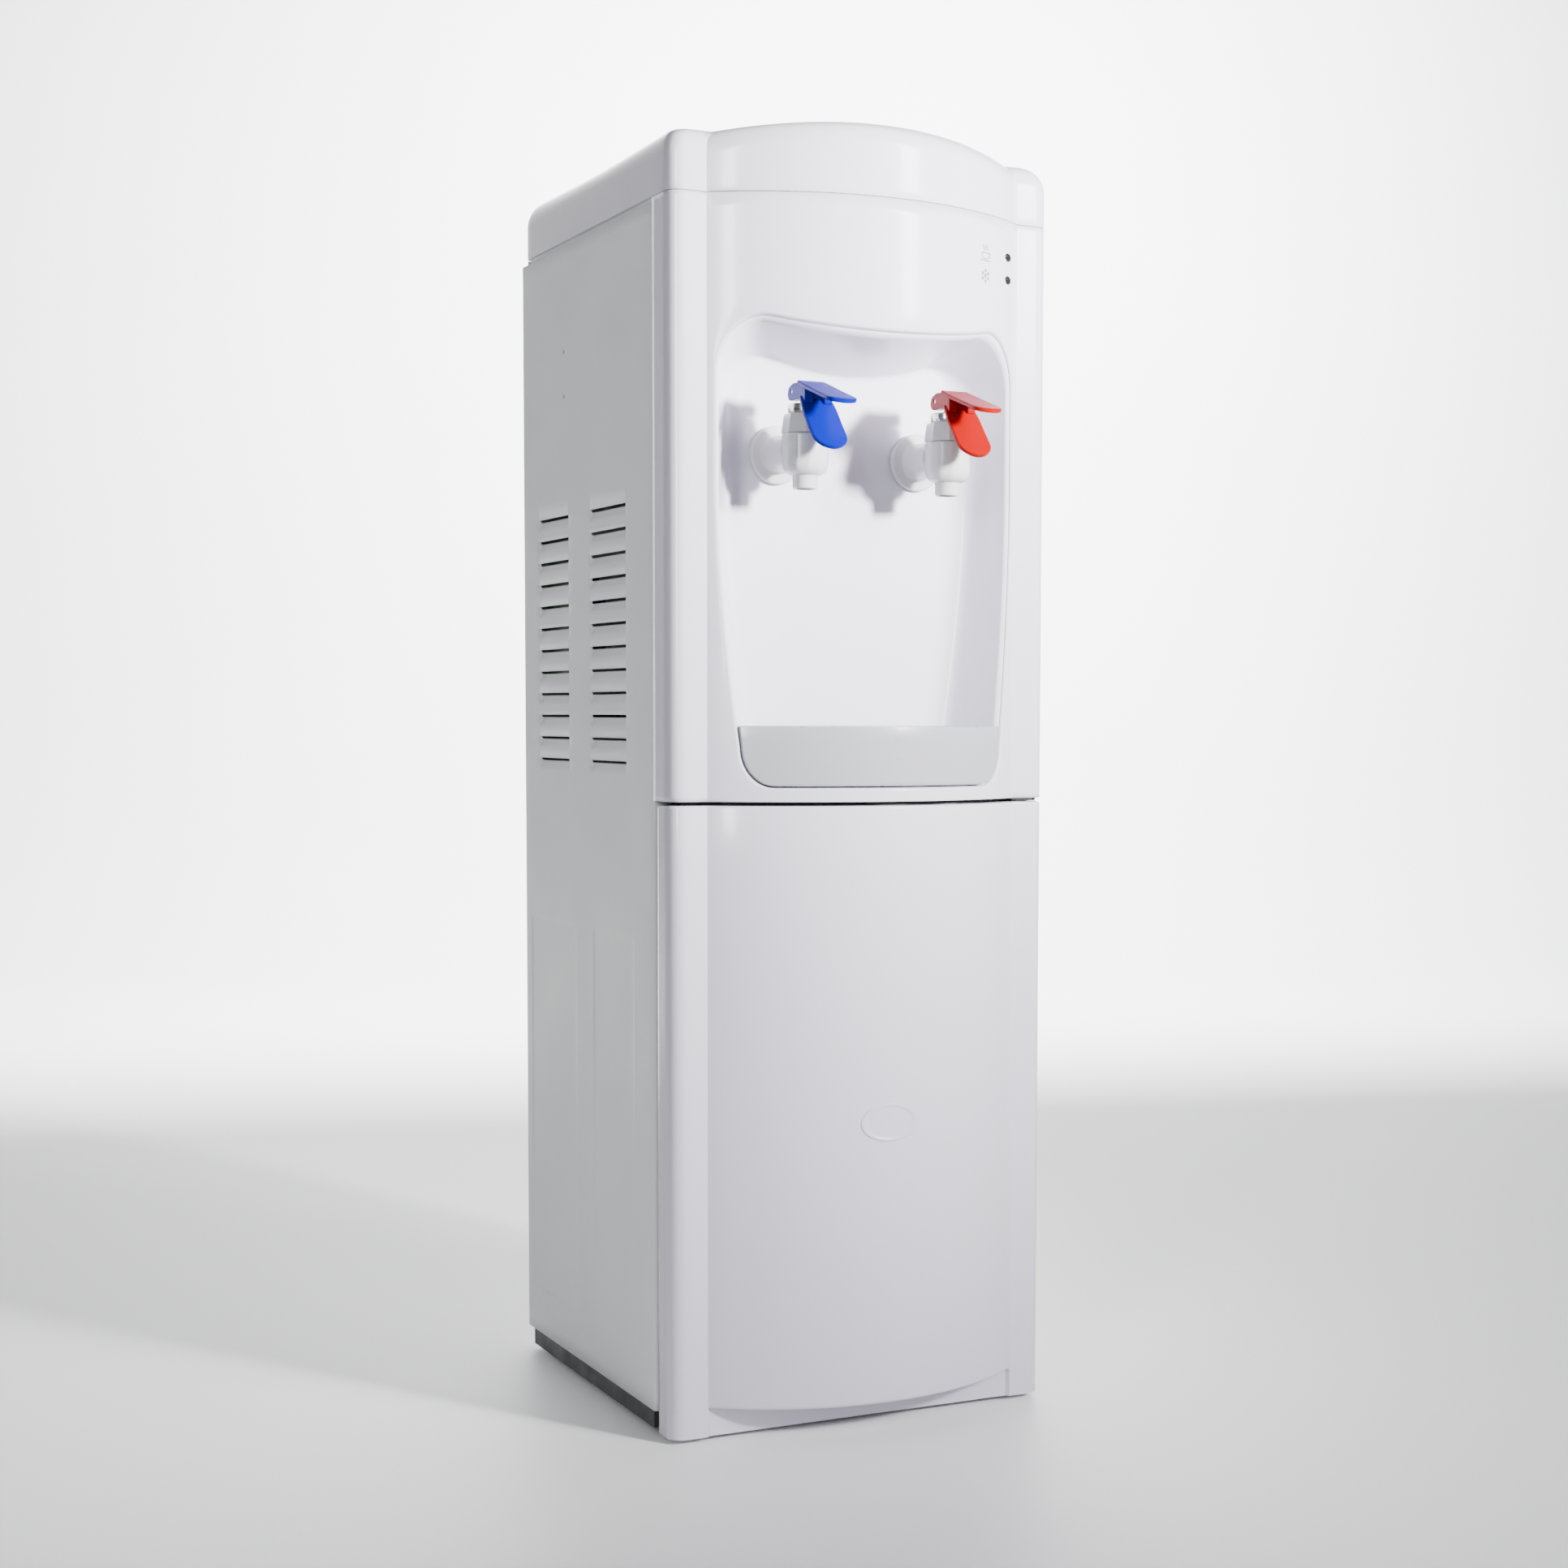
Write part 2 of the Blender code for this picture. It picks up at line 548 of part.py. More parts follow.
def make_tap(side, x, colour):
    """A tap on the alcove's back wall: body and bonnet, a stem that lifts, and the lever that lifts it."""
    axis = (x, at(TAP_DEPTH), 0)
    along = (x, at(0), TAP_Z)
    body = turned(
        f"{side}_tap_body",
        [(0, 706 * MM), (12 * MM, 706 * MM), (15.5 * MM, 709 * MM), (17 * MM, 714 * MM), (17 * MM, 735 * MM),
         (0, 735 * MM)],
        axis,
        "tap",
    )
    join(
        body,
        rod(f"{side}_spout", 9 * MM, 696 * MM, 711 * MM, axis, count=20),
        turned(
            f"{side}_neck",
            [(0, -18 * MM), (9.8 * MM, -18 * MM), (9.8 * MM, 0), (13 * MM, 4 * MM), (13.4 * MM, 20 * MM),
             (15 * MM, 29 * MM), (21.5 * MM, 30.5 * MM),
             (21.5 * MM, ALCOVE_BACK - GAP), (8 * MM, ALCOVE_BACK - GAP), (8 * MM, 62 * MM), (0, 62 * MM)],
            along,
            axis="Y",
        ),
    )
    cut(
        body,
        rod(f"{side}_chamber", 13.3 * MM, 713 * MM, 740 * MM, axis, count=20),
        rod(f"{side}_spout_bore", 6.5 * MM, 690 * MM, 716 * MM, axis, count=16),
        rod(f"{side}_neck_bore", 5 * MM, -14 * MM, 70 * MM, along, axis="Y", count=12),
    )
    nut = prism(
        f"{side}_lock_nut",
        circle(14 * MM, (x, TAP_Z), 6),
        at(ALCOVE_BACK + 2.5 * MM + GAP),
        at(ALCOVE_BACK + 9 * MM),
        "tap",
        axis="Y",
    )
    cut(nut, rod(f"{side}_nut_bore", 8.3 * MM, 20 * MM, 60 * MM, along, axis="Y"))
    bonnet = loft(
        f"{side}_tap_bonnet",
        [[(px, py, z) for px, py in circle(radius, axis[:2], 8, math.pi / 8)]
         for radius, z in ((17.2 * MM, 735.3 * MM), (15.2 * MM, 749.6 * MM))],
        "tap",
    )
    cut(bonnet, rod(f"{side}_spring_room", 10.5 * MM, 730 * MM, 745.5 * MM, axis),
        rod(f"{side}_stem_bore", 3.4 * MM, 730 * MM, 760 * MM, axis, count=16))
    ring(f"{side}_tap_collar", 3.5 * MM, 12.6 * MM, 749.9 * MM, 756.4 * MM, axis, "chrome")
    stem = rod(f"{side}_stem", 3 * MM, 716 * MM, 768.2 * MM, axis, "chrome", count=16)
    pin_place = (x, at(TAP_DEPTH), LEVER_PIN_Z)
    cut(stem, rod(f"{side}_pin_eye", 1.85 * MM, -10 * MM, 10 * MM, pin_place, axis="X", count=12))
    turned(
        f"{side}_seal",
        [(3.3 * MM, 714.5 * MM), (8.5 * MM, 714.5 * MM), (9.5 * MM, 717 * MM), (9.5 * MM, 719 * MM),
         (5.5 * MM, 722 * MM), (3.3 * MM, 722 * MM)],
        axis,
        "silicone",
        count=16,
    )
    make_spring(side, axis)
    rod(f"{side}_lever_pin", 1.5 * MM, -10.5 * MM, 10.5 * MM, (x, at(TAP_DEPTH), LEVER_PIN_Z), "chrome", "X", 12)
    make_lever(side, x, colour)


def make_spring(side, axis):
    """A compression spring between the seal and the bonnet."""
    turns, steps, wire, radius = 4.0, 12, 0.65 * MM, 7.4 * MM
    low, high = 723.2 * MM, 744.4 * MM
    curve = bpy.data.curves.new(f"{side}_spring", "CURVE")
    curve.dimensions = "3D"
    curve.bevel_depth = wire
    curve.bevel_resolution = 1
    curve.use_fill_caps = True
    spline = curve.splines.new("POLY")
    count = int(turns * steps)
    spline.points.add(count)
    for k, point in enumerate(spline.points):
        a = math.tau * k / steps
        point.co = (
            axis[0] + radius * math.cos(a), axis[1] + radius * math.sin(a), low + (high - low) * k / count, 1
        )
    made = bpy.data.objects.new(f"{side}_spring", curve)
    bpy.context.scene.collection.objects.link(made)
    curve.materials.append(look("stainless"))


def lever_plate(name, path, thickness, finish=None):
    """A plate through (depth, z, half width) stations, with its thickness below the path."""
    rings = []
    for i, (depth, z, half) in enumerate(path):
        before, after = path[max(i - 1, 0)], path[min(i + 1, len(path) - 1)]
        run = Vector((after[0] - before[0], after[1] - before[1])).normalized()
        down = Vector((-run.y, run.x)) * thickness
        rings.append([
            (-half, at(depth), z), (half, at(depth), z),
            (half, at(depth) + down.x, z + down.y), (-half, at(depth) + down.x, z + down.y),
        ])
    return loft(name, rings, finish)


def make_lever(side, x, colour):
    plate_slope = math.radians(18)
    length = 62 * MM
    rear = (-29 * MM, 772 * MM)
    stations = []
    for share, half in ((0, 11.5), (0.5, 11.5), (0.8, 10.5), (0.93, 9), (1.0, 6)):
        run = length * share
        stations.append((rear[0] - run * math.cos(plate_slope), rear[1] - run * math.sin(plate_slope), half * MM))
    lever = lever_plate(f"{side}_lever", stations, 3.2 * MM, colour)
    tongue = []
    for share, half in ((0, 12), (0.3, 13.5), (0.7, 13.5), (0.87, 11.5), (0.96, 7.5), (1.0, 4)):
        run = 50.4 * MM * share
        slant = math.radians(40.3)
        tongue.append((-36 * MM - run * math.sin(slant), 760.5 * MM - run * math.cos(slant), half * MM))
    join(lever, lever_plate(f"{side}_tongue", tongue, 3.2 * MM))
    cheek = [
        (at(-29 * MM), 770.5 * MM), (at(-42 * MM), 766.5 * MM), (at(-42 * MM), 753 * MM), (at(-36 * MM), 757 * MM),
        (at(-27 * MM), 759.0 * MM), (at(-14 * MM), 758.8 * MM), (at(-11 * MM), 763 * MM), (at(-13 * MM), 768.5 * MM),
        (at(-20 * MM), 771 * MM),
    ]
    for hand, low, high in (("left", -11 * MM, -4.3 * MM), ("right", 4.3 * MM, 11 * MM)):
        join(lever, prism(f"{side}_{hand}_cheek", cheek, low, high, axis="X"))
    join(lever, block(f"{side}_lever_bridge", (-8 * MM, 8 * MM), (-41 * MM, -34 * MM), (758 * MM, 767.5 * MM)))
    cut(lever, rod(f"{side}_lever_eye", 1.85 * MM, -20 * MM, 20 * MM, (0, at(TAP_DEPTH), LEVER_PIN_Z), axis="X",
                   count=12))
    move_origin(lever, (0, at(TAP_DEPTH), LEVER_PIN_Z))
    lever.location.x = x
    for modifier in lever.modifiers:
        modifier.object.location.x += x


def make_tanks():
    centre = (0, at(TANK_DEPTH), 0)
    tank = rod("cold_tank", 70 * MM, 702 * MM, 884 * MM, centre, "stainless", count=40)
    join(
        tank,
        rod("cold_outlet", 7 * MM, 62.5 * MM, 130 * MM, (-TAP_X, at(0), TAP_Z), axis="Y", count=16),
        rod("feed_outlet", 6 * MM, 692 * MM, 703 * MM, centre, count=16),
    )
    cut(
        tank,
        rod("cold_outlet_bore", 5 * MM, 55 * MM, 140 * MM, (-TAP_X, at(0), TAP_Z), axis="Y", count=16),
        rod("feed_bore", 4.5 * MM, 680 * MM, 712 * MM, centre, count=16),
        rod("tank_inside", 68.4 * MM, 703.6 * MM, 890 * MM, centre, count=40),
    )
    ring("tank_baffle", 12 * MM, 67.5 * MM, 800 * MM, 803 * MM, centre, "liner")
    jacket = ring("cold_tank_jacket", 70.8 * MM, 90 * MM, 704 * MM, 872 * MM, centre, "foam", count=40)
    cut(
        jacket,
        rod("outlet_tunnel", 7.6 * MM, 60 * MM, 150 * MM, (-TAP_X, at(0), TAP_Z), axis="Y", count=16),
        block("module_window", (-21 * MM, 21 * MM), (220 * MM, 280 * MM), (765 * MM, 807 * MM)),
    )
    hot = (HOT_X, at(HOT_DEPTH), 0)
    tank = turned(
        "hot_tank",
        [(0, 560 * MM), (38 * MM, 560 * MM), (42 * MM, 564 * MM), (42 * MM, 686 * MM), (38 * MM, 690 * MM),
         (0, 690 * MM)],
        hot,
        "stainless",
        count=32,
    )
    elbow = (HOT_X, at(86 * MM), 0)
    join(
        tank,
        rod("hot_riser", 6 * MM, 688 * MM, 731 * MM, elbow, count=16),
        rod("hot_outlet", 6 * MM, 62.5 * MM, 88 * MM, (HOT_X, at(0), TAP_Z), axis="Y", count=16),
        rod("hot_inlet", 6 * MM, -54 * MM, -38 * MM, (HOT_X, at(HOT_DEPTH), 578 * MM), axis="X", count=16),
        rod("hot_drain", 5 * MM, 155 * MM, 317.5 * MM, (HOT_X, at(0), 570 * MM), axis="Y", count=16),
    )
    cut(
        tank,
        rod("hot_room", 40.4 * MM, 563 * MM, 685 * MM, hot, count=32),
        rod("hot_riser_bore", 4.5 * MM, 680 * MM, 728 * MM, elbow, count=16),
        rod("hot_outlet_bore", 4.5 * MM, 55 * MM, 86 * MM, (HOT_X, at(0), TAP_Z), axis="Y", count=16),
        rod("hot_inlet_bore", 4.5 * MM, -60 * MM, -36 * MM, (HOT_X, at(HOT_DEPTH), 578 * MM), axis="X", count=16),
        rod("hot_drain_bore", 3.5 * MM, 150 * MM, 330 * MM, (HOT_X, at(0), 570 * MM), axis="Y", count=16),
    )
    ring("heater_band", 42.4 * MM, 45.2 * MM, 600 * MM, 640 * MM, hot, "ceramic", count=32)
    turned(
        "drain_cap",
        [(0, BACK_FACE + GAP), (9 * MM, BACK_FACE + GAP), (9 * MM, 327 * MM), (0, 328.4 * MM)],
        (HOT_X, at(0), 570 * MM),
        "dark",
        axis="Y",
        count=20,
    )
    hose(
        "hot_feed_tube",
        [(0, at(TANK_DEPTH), 691.2 * MM), (0, at(TANK_DEPTH), 662 * MM), (-8 * MM, at(152 * MM), 618 * MM),
         (-14 * MM, at(128 * MM), 588 * MM), (-8 * MM, at(HOT_DEPTH), 578 * MM), (2.8 * MM, at(HOT_DEPTH), 578 * MM)],
        6 * MM,
        "silicone",
    )


def make_cooler():
    window = (766 * MM, 806 * MM)
    block("thermoelectric_module", (-20 * MM, 20 * MM), (236 * MM, 257 * MM), window, "ceramic")
    sink = block("heat_sink", (-40 * MM, 40 * MM), (257.3 * MM, 288 * MM), (746 * MM, 826 * MM), "aluminium")
    shape = bmesh.new()
    for k in range(8):
        x = (-35 + 10 * k) * MM
        made = bmesh.ops.create_cube(shape, size=1.0)["verts"]
        bmesh.ops.scale(shape, vec=(7.6 * MM, 26 * MM, 100 * MM), verts=made)
        bmesh.ops.translate(shape, vec=(x, at(275.3 * MM), 786 * MM), verts=made)
    cut(sink, solid("fin_gaps", shape))
    hub = (0, at(0), 786 * MM)
    frame = block("fan_frame", (-40 * MM, 40 * MM), (289 * MM, 314 * MM), (746 * MM, 826 * MM), "dark")
    cut(frame, rod("fan_tunnel", 38 * MM, 280 * MM, 330 * MM, hub, axis="Y", count=32))
    join(
        frame,
        rod("motor_seat", 14 * MM, 289 * MM, 292 * MM, hub, axis="Y", count=20),
        block("strut_flat", (-39 * MM, 39 * MM), (289 * MM, 291.6 * MM), (784 * MM, 788 * MM)),
        block("strut_upright", (-2 * MM, 2 * MM), (289 * MM, 291.6 * MM), (747 * MM, 825 * MM)),
    )
    fan = rod("fan_impeller", 14 * MM, 292.8 * MM, 311 * MM, hub, "dark", axis="Y", count=20)
    for k in range(7):
        a = math.tau * k / 7
        across = Vector((-math.sin(a), 0, math.cos(a)))
        out = Vector((math.cos(a), 0, math.sin(a)))
        rings = []
        for radius, sweep in ((12 * MM, 5 * MM), (35.5 * MM, 9 * MM)):
            centre = Vector(hub) + out * radius
            low = centre + Vector((0, 295 * MM, 0)) - across * sweep
            high = centre + Vector((0, 309 * MM, 0)) + across * sweep
            thick = across * 1.6 * MM
            rings.append([low, high, high + thick, low + thick])
        join(fan, loft(f"blade_{k}", rings))
    move_origin(fan, (0, at(302 * MM), 786 * MM))


def make_electrics():
    board = block("power_board", (-146 * MM, -144.4 * MM), (215 * MM, 295 * MM), (560 * MM, 660 * MM), "board")
    join(
        board,
        block("transformer", (-145 * MM, -122 * MM), (225 * MM, 255 * MM), (570 * MM, 600 * MM)),
        rod("capacitor", 8 * MM, -145 * MM, -124 * MM, (0, at(240 * MM), 640 * MM), axis="X", count=16),
        block("terminal_row", (-145 * MM, -134 * MM), (262 * MM, 292 * MM), (572 * MM, 584 * MM)),
    )
    inlet = block("power_inlet", (-108 * MM, -82 * MM), (298 * MM, 317 * MM), (521 * MM, 540 * MM), "dark")
    join(inlet, block("inlet_flange", (-112 * MM, -78 * MM), (BACK_FACE + GAP, 321 * MM), (517 * MM, 544 * MM)),
         block("inlet_body", (-108 * MM, -82 * MM), (316 * MM, 319 * MM), (521 * MM, 540 * MM)))
    cut(inlet, block("inlet_socket", (-106 * MM, -84 * MM), (303 * MM, 330 * MM), (523.5 * MM, 537.5 * MM)))
    for side, z in (("hot", 590 * MM), ("cold", 630 * MM)):
        profile = [
            (at(306 * MM), z - 6 * MM), (at(306 * MM), z + 6 * MM), (at(318.2 * MM), z + 8.9 * MM),
            (at(322.6 * MM), z + 7.9 * MM), (at(319.6 * MM), z), (at(319.8 * MM), z - 8.7 * MM),
            (at(317.0 * MM), z - 8.9 * MM),
        ]
        colour = "red" if side == "hot" else "blue"
        rocker = prism(f"{side}_switch_rocker", profile, -6 * MM, 6 * MM, colour, axis="X")
        move_origin(rocker, (0, at(312 * MM), z))
        rocker.location.x = -98 * MM


clear_scene()
make_base()
make_side_panels()
make_back_panel()
make_mid_shelf()
make_top_cover()
make_bottle_seat()
make_upper_panel()
make_alcove_liner()
make_drip_tray()
make_door()
make_hinges()
make_tap("cold", -TAP_X, "blue")
make_tap("hot", TAP_X, "red")
make_tanks()
make_cooler()
make_electrics()
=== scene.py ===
import json
import math
import bmesh
import bpy
import numpy as np
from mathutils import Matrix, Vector


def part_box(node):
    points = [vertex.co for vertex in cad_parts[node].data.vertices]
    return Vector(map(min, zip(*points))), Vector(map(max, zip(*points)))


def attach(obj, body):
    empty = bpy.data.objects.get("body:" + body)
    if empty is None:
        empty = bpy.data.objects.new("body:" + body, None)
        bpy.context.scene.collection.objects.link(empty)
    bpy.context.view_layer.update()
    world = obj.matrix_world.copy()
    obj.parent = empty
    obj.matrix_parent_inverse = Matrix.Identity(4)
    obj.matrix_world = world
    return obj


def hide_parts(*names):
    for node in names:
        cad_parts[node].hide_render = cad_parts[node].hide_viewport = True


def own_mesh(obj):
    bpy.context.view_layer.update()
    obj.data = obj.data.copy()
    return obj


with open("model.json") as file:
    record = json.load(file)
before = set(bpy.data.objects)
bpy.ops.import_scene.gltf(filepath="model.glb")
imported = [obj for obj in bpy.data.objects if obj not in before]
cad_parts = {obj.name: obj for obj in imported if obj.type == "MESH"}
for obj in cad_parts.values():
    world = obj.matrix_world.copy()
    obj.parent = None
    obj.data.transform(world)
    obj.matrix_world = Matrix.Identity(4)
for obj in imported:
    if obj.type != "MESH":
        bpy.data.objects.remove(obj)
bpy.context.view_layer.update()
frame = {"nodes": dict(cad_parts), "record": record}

mm = 0.001
print("frame loaded")

# Places that every piece shares, taken from the frame.
doorLow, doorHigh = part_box("lower_door")
coverLow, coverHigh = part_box("top_cover")
panelLow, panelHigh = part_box("front_upper_panel")
sideLow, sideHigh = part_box("left_side_panel")
half = doorHigh.x
rear = sideHigh.y
body = {
    "bow": 43.5 * mm,             # how far the middle stands in front of the columns
    "bowHalf": 126.8 * mm,        # half the width of the bowed middle
    "corner": 12 * mm,            # corner radius of the columns
}
front = doorLow.y + body["bow"]   # the flat front of the columns
bowRadius = (body["bowHalf"] ** 2 + body["bow"] ** 2) / (2 * body["bow"])
bowCentre = bowRadius - body["bow"]


# Depth behind the flat front of the columns, as a place along Y.
def at(depth):
    return front + depth


# One object from points and faces, its doubles merged and its edges sharp past the angle.
def addMesh(name, points, faces, material, smoothAngle=40):
    mesh = bpy.data.meshes.new(name)
    mesh.from_pydata(np.asarray(points, float).tolist(), [], [list(map(int, f)) for f in faces])
    work = bmesh.new()
    work.from_mesh(mesh)
    bmesh.ops.remove_doubles(work, verts=work.verts, dist=2e-6)
    bmesh.ops.dissolve_degenerate(work, edges=work.edges, dist=1e-7)
    bmesh.ops.recalc_face_normals(work, faces=work.faces)
    work.to_mesh(mesh)
    work.free()
    mesh.shade_smooth()
    mesh.set_sharp_from_angle(angle=math.radians(smoothAngle))
    made = bpy.data.objects.new(name, mesh)
    bpy.context.scene.collection.objects.link(made)
    mesh.materials.append(material)
    return made


# Quads of a rows by columns grid of points, joined round where it closes.
def gridFaces(rows, columns, closeRows=False, closeColumns=False, first=0):
    r = np.arange(rows if closeRows else rows - 1)
    c = np.arange(columns if closeColumns else columns - 1)
    r, c = np.meshgrid(r, c, indexing="ij")
    r2, c2 = (r + 1) % rows, (c + 1) % columns
    quads = np.stack([r * columns + c, r * columns + c2, r2 * columns + c2, r2 * columns + c], -1)
    return quads.reshape(-1, 4) + first


# Points and faces of closed rings in a row, each end closed by a flat cap.
def tubeParts(rings, first=0):
    rings = np.asarray(rings, float)
    rows, columns = rings.shape[:2]
    faces = gridFaces(rows, columns, closeColumns=True, first=first).tolist()
    faces.append((first + np.arange(columns)).tolist())
    faces.append((first + (rows - 1) * columns + np.arange(columns)).tolist())
    return rings.reshape(-1, 3), faces


# One object of several closed shells, each a stack of rings.
def addShells(name, parts, material, smoothAngle=40):
    points, faces, count = [], [], 0
    for rings in parts:
        p, f = tubeParts(rings, count)
        points.append(p)
        faces += f
        count += len(p)
    return addMesh(name, np.concatenate(points), faces, material, smoothAngle)


# One object of ring stacks that close on themselves, such as a turned wall with a bore.
def addLoops(name, stacks, material, smoothAngle=34):
    points, faces, count = [], [], 0
    for rings in stacks:
        rings = np.asarray(rings, float)
        points.append(rings.reshape(-1, 3))
        faces += gridFaces(len(rings), rings.shape[1], True, True, count).tolist()
        count += len(points[-1])
    return addMesh(name, np.concatenate(points), faces, material, smoothAngle)


# Two unit vectors across the axis and the axis itself, as rows.
def frameOf(axis):
    return {"X": np.array([[0, 1, 0], [0, 0, 1], [1, 0, 0]], float),
            "Y": np.array([[1, 0, 0], [0, 0, 1], [0, 1, 0]], float),
            "Z": np.array([[1, 0, 0], [0, 1, 0], [0, 0, 1]], float)}[axis]


# Rings of (radius, height) turned about the axis. A facets share flattens them towards a polygon:
# the radius is divided by cos of the angle to the nearest face's middle, mixed with the round one.
def turnedRings(profile, centre, axis="Z", count=64, facets=0.0, sides=8):
    angles = np.linspace(0, math.tau, count, endpoint=False)
    across, up, along = frameOf(axis)
    span = math.tau / sides
    nearest = (angles + span / 2) % span - span / 2
    flat = np.cos(span / 2) / np.cos(nearest)
    profile = np.asarray(profile, float)
    share = facets if np.ndim(facets) else np.full(len(profile), float(facets))
    shape = 1 + np.outer(share, flat - 1)
    radius = profile[:, :1] * shape
    return (np.asarray(centre, float) + radius[..., None] * np.cos(angles)[None, :, None] * across
            + radius[..., None] * np.sin(angles)[None, :, None] * up + profile[:, 1, None, None] * along)


# A quadratic curve that rounds one corner. It starts and ends a radius away along the two edges, or at
# most 0.45 of an edge.
def cornerCurve(before, corner, after, radius, count):
    a, b = before - corner, after - corner
    lengthA, lengthB = np.linalg.norm(a), np.linalg.norm(b)
    cut = min(radius, lengthA * 0.45, lengthB * 0.45)
    p, q = corner + a / lengthA * cut, corner + b / lengthB * cut
    t = np.linspace(0, 1, count)[:, None]
    return (1 - t) ** 2 * p + 2 * t * (1 - t) * corner + t ** 2 * q


# The outline through the points, with each inner corner rounded.
def softened(points, radius, steps=4):
    points = np.asarray(points, float)
    corners = [cornerCurve(*three, radius, steps + 1) for three in zip(points, points[1:], points[2:])]
    return np.concatenate([points[:1], *corners, points[-1:]])


# The outline closed on itself, with each corner rounded.
def roundedLoop(points, radius, steps=5):
    points = np.asarray(points, float)
    threes = zip(np.roll(points, 1, 0), points, np.roll(points, -1, 0))
    return np.concatenate([cornerCurve(*three, radius, steps) for three in threes])


# Rings of a slab: each station is (centre, across, up, half width), and its section is a rectangle
# with corners rounded by edge, drawn with four quarter circles.
def roundedSlab(stations, thickness, edge, count=6):
    rings = []
    for centre, across, up, wide, share in stations:
        thick = thickness * share / 2
        r = min(edge, wide * 0.9, thick * 0.9)
        ring = []
        for k, (sx, sy) in enumerate(((1, 1), (-1, 1), (-1, -1), (1, -1))):
            a = math.pi / 2 * k + np.linspace(0, math.pi / 2, count)
            ring.append(np.stack([sx * (wide - r) + r * np.cos(a), sy * (thick - r) + r * np.sin(a)], -1))
        ring = np.concatenate(ring)
        rings.append(np.asarray(centre) + ring[:, :1] * np.asarray(across) + ring[:, 1:] * np.asarray(up))
    return np.array(rings)


# A plan outline repeated at each height, as a grid of points.
def raised(plan, heights):
    rows = np.empty((len(heights), len(plan), 3))
    rows[..., :2] = plan
    rows[..., 2] = heights[:, None]
    return rows


# A wall inwards from the outer skin, closed round its rim.
def thicken(piece, thickness):
    wall = piece.modifiers.new("wall", "SOLIDIFY")
    wall.thickness = thickness
    wall.offset = -1
    wall.use_rim = True
    wall.use_even_offset = False
    return piece


# Sets the body of a piece and hides the nodes that it stands in for; the material slot name is not used.
def place(piece, bodyName, slotName, *nodes):
    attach(piece, bodyName)
    if nodes:
        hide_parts(*nodes)
    return piece


# A material with its node tree and its shader.
def newMaterial(name):
    made = bpy.data.materials.new(name)
    made.use_nodes = True
    tree = made.node_tree
    return made, tree, tree.nodes["Principled BSDF"]


# Noise on object coordinates, stretched along an axis where the finish is drawn out.
def noiseOn(tree, scale, detail=3.0, stretch=(1, 1, 1)):
    coord = tree.nodes.new("ShaderNodeTexCoord")
    mapping = tree.nodes.new("ShaderNodeMapping")
    mapping.inputs["Scale"].default_value = stretch
    noise = tree.nodes.new("ShaderNodeTexNoise")
    noise.inputs["Scale"].default_value = scale
    noise.inputs["Detail"].default_value = detail
    tree.links.new(coord.outputs["Object"], mapping.inputs["Vector"])
    tree.links.new(mapping.outputs["Vector"], noise.inputs["Vector"])
    return noise.outputs["Fac"]


# A value stretched from one range to another.
def spread(tree, source, low, high, fromLow=0.3, fromHigh=0.7):
    node = tree.nodes.new("ShaderNodeMapRange")
    node.inputs["From Min"].default_value = fromLow
    node.inputs["From Max"].default_value = fromHigh
    node.inputs["To Min"].default_value = low
    node.inputs["To Max"].default_value = high
    tree.links.new(source, node.inputs["Value"])
    return node.outputs["Result"]


# A mix of two colours by a value.
def tinted(tree, source, first, second):
    node = tree.nodes.new("ShaderNodeMix")
    node.data_type = "RGBA"
    node.inputs[6].default_value = (*first, 1)
    node.inputs[7].default_value = (*second, 1)
    tree.links.new(source, node.inputs[0])
    return node.outputs[2]


# A height made into a bump of the surface.
def bumped(tree, shader, source, strength, distance):
    node = tree.nodes.new("ShaderNodeBump")
    node.inputs["Strength"].default_value = strength
    node.inputs["Distance"].default_value = distance
    tree.links.new(source, node.inputs["Height"])
    tree.links.new(node.outputs["Normal"], shader.inputs["Normal"])


# Injection-moulded plastic: slow drift of tone from the melt's flow, fine grain, a gloss that breaks up.
def moulded(name, colour, rough, coat=0.0, vary=0.03, grain=0.08, grainScale=900, flow=7.0,
            metal=0.0, shine=0.5):
    made, tree, shader = newMaterial(name)
    base = np.array(colour)
    drift = noiseOn(tree, flow, 4.0, (1, 1, 0.35))
    light = np.minimum(base * (1 + vary), 1)
    tree.links.new(tinted(tree, spread(tree, drift, 0, 1), base * (1 - vary), light),
                   shader.inputs["Base Color"])
    haze = noiseOn(tree, flow * 6, 5.0)
    tree.links.new(spread(tree, haze, rough * 0.85, rough * 1.2), shader.inputs["Roughness"])
    shader.inputs["Coat Weight"].default_value = coat
    shader.inputs["Coat Roughness"].default_value = rough * 0.4
    shader.inputs["Metallic"].default_value = metal
    shader.inputs["Specular IOR Level"].default_value = shine
    bumped(tree, shader, noiseOn(tree, grainScale, 2.0), grain, 0.00006)
    return made


# Baked powder paint on sheet steel: orange peel over a faint speckle, dustier in slow patches.
def powderCoat(name, colour, rough):
    made, tree, shader = newMaterial(name)
    base = np.array(colour)
    speck = noiseOn(tree, 1400, 2.0)
    tree.links.new(tinted(tree, spread(tree, speck, 0, 1, 0.35, 0.65), base * 0.965, base * 1.03),
                   shader.inputs["Base Color"])
    dust = noiseOn(tree, 16, 5.0)
    tree.links.new(spread(tree, dust, rough * 0.85, rough * 1.15), shader.inputs["Roughness"])
    bumped(tree, shader, noiseOn(tree, 520, 3.0), 0.16, 0.0001)
    return made


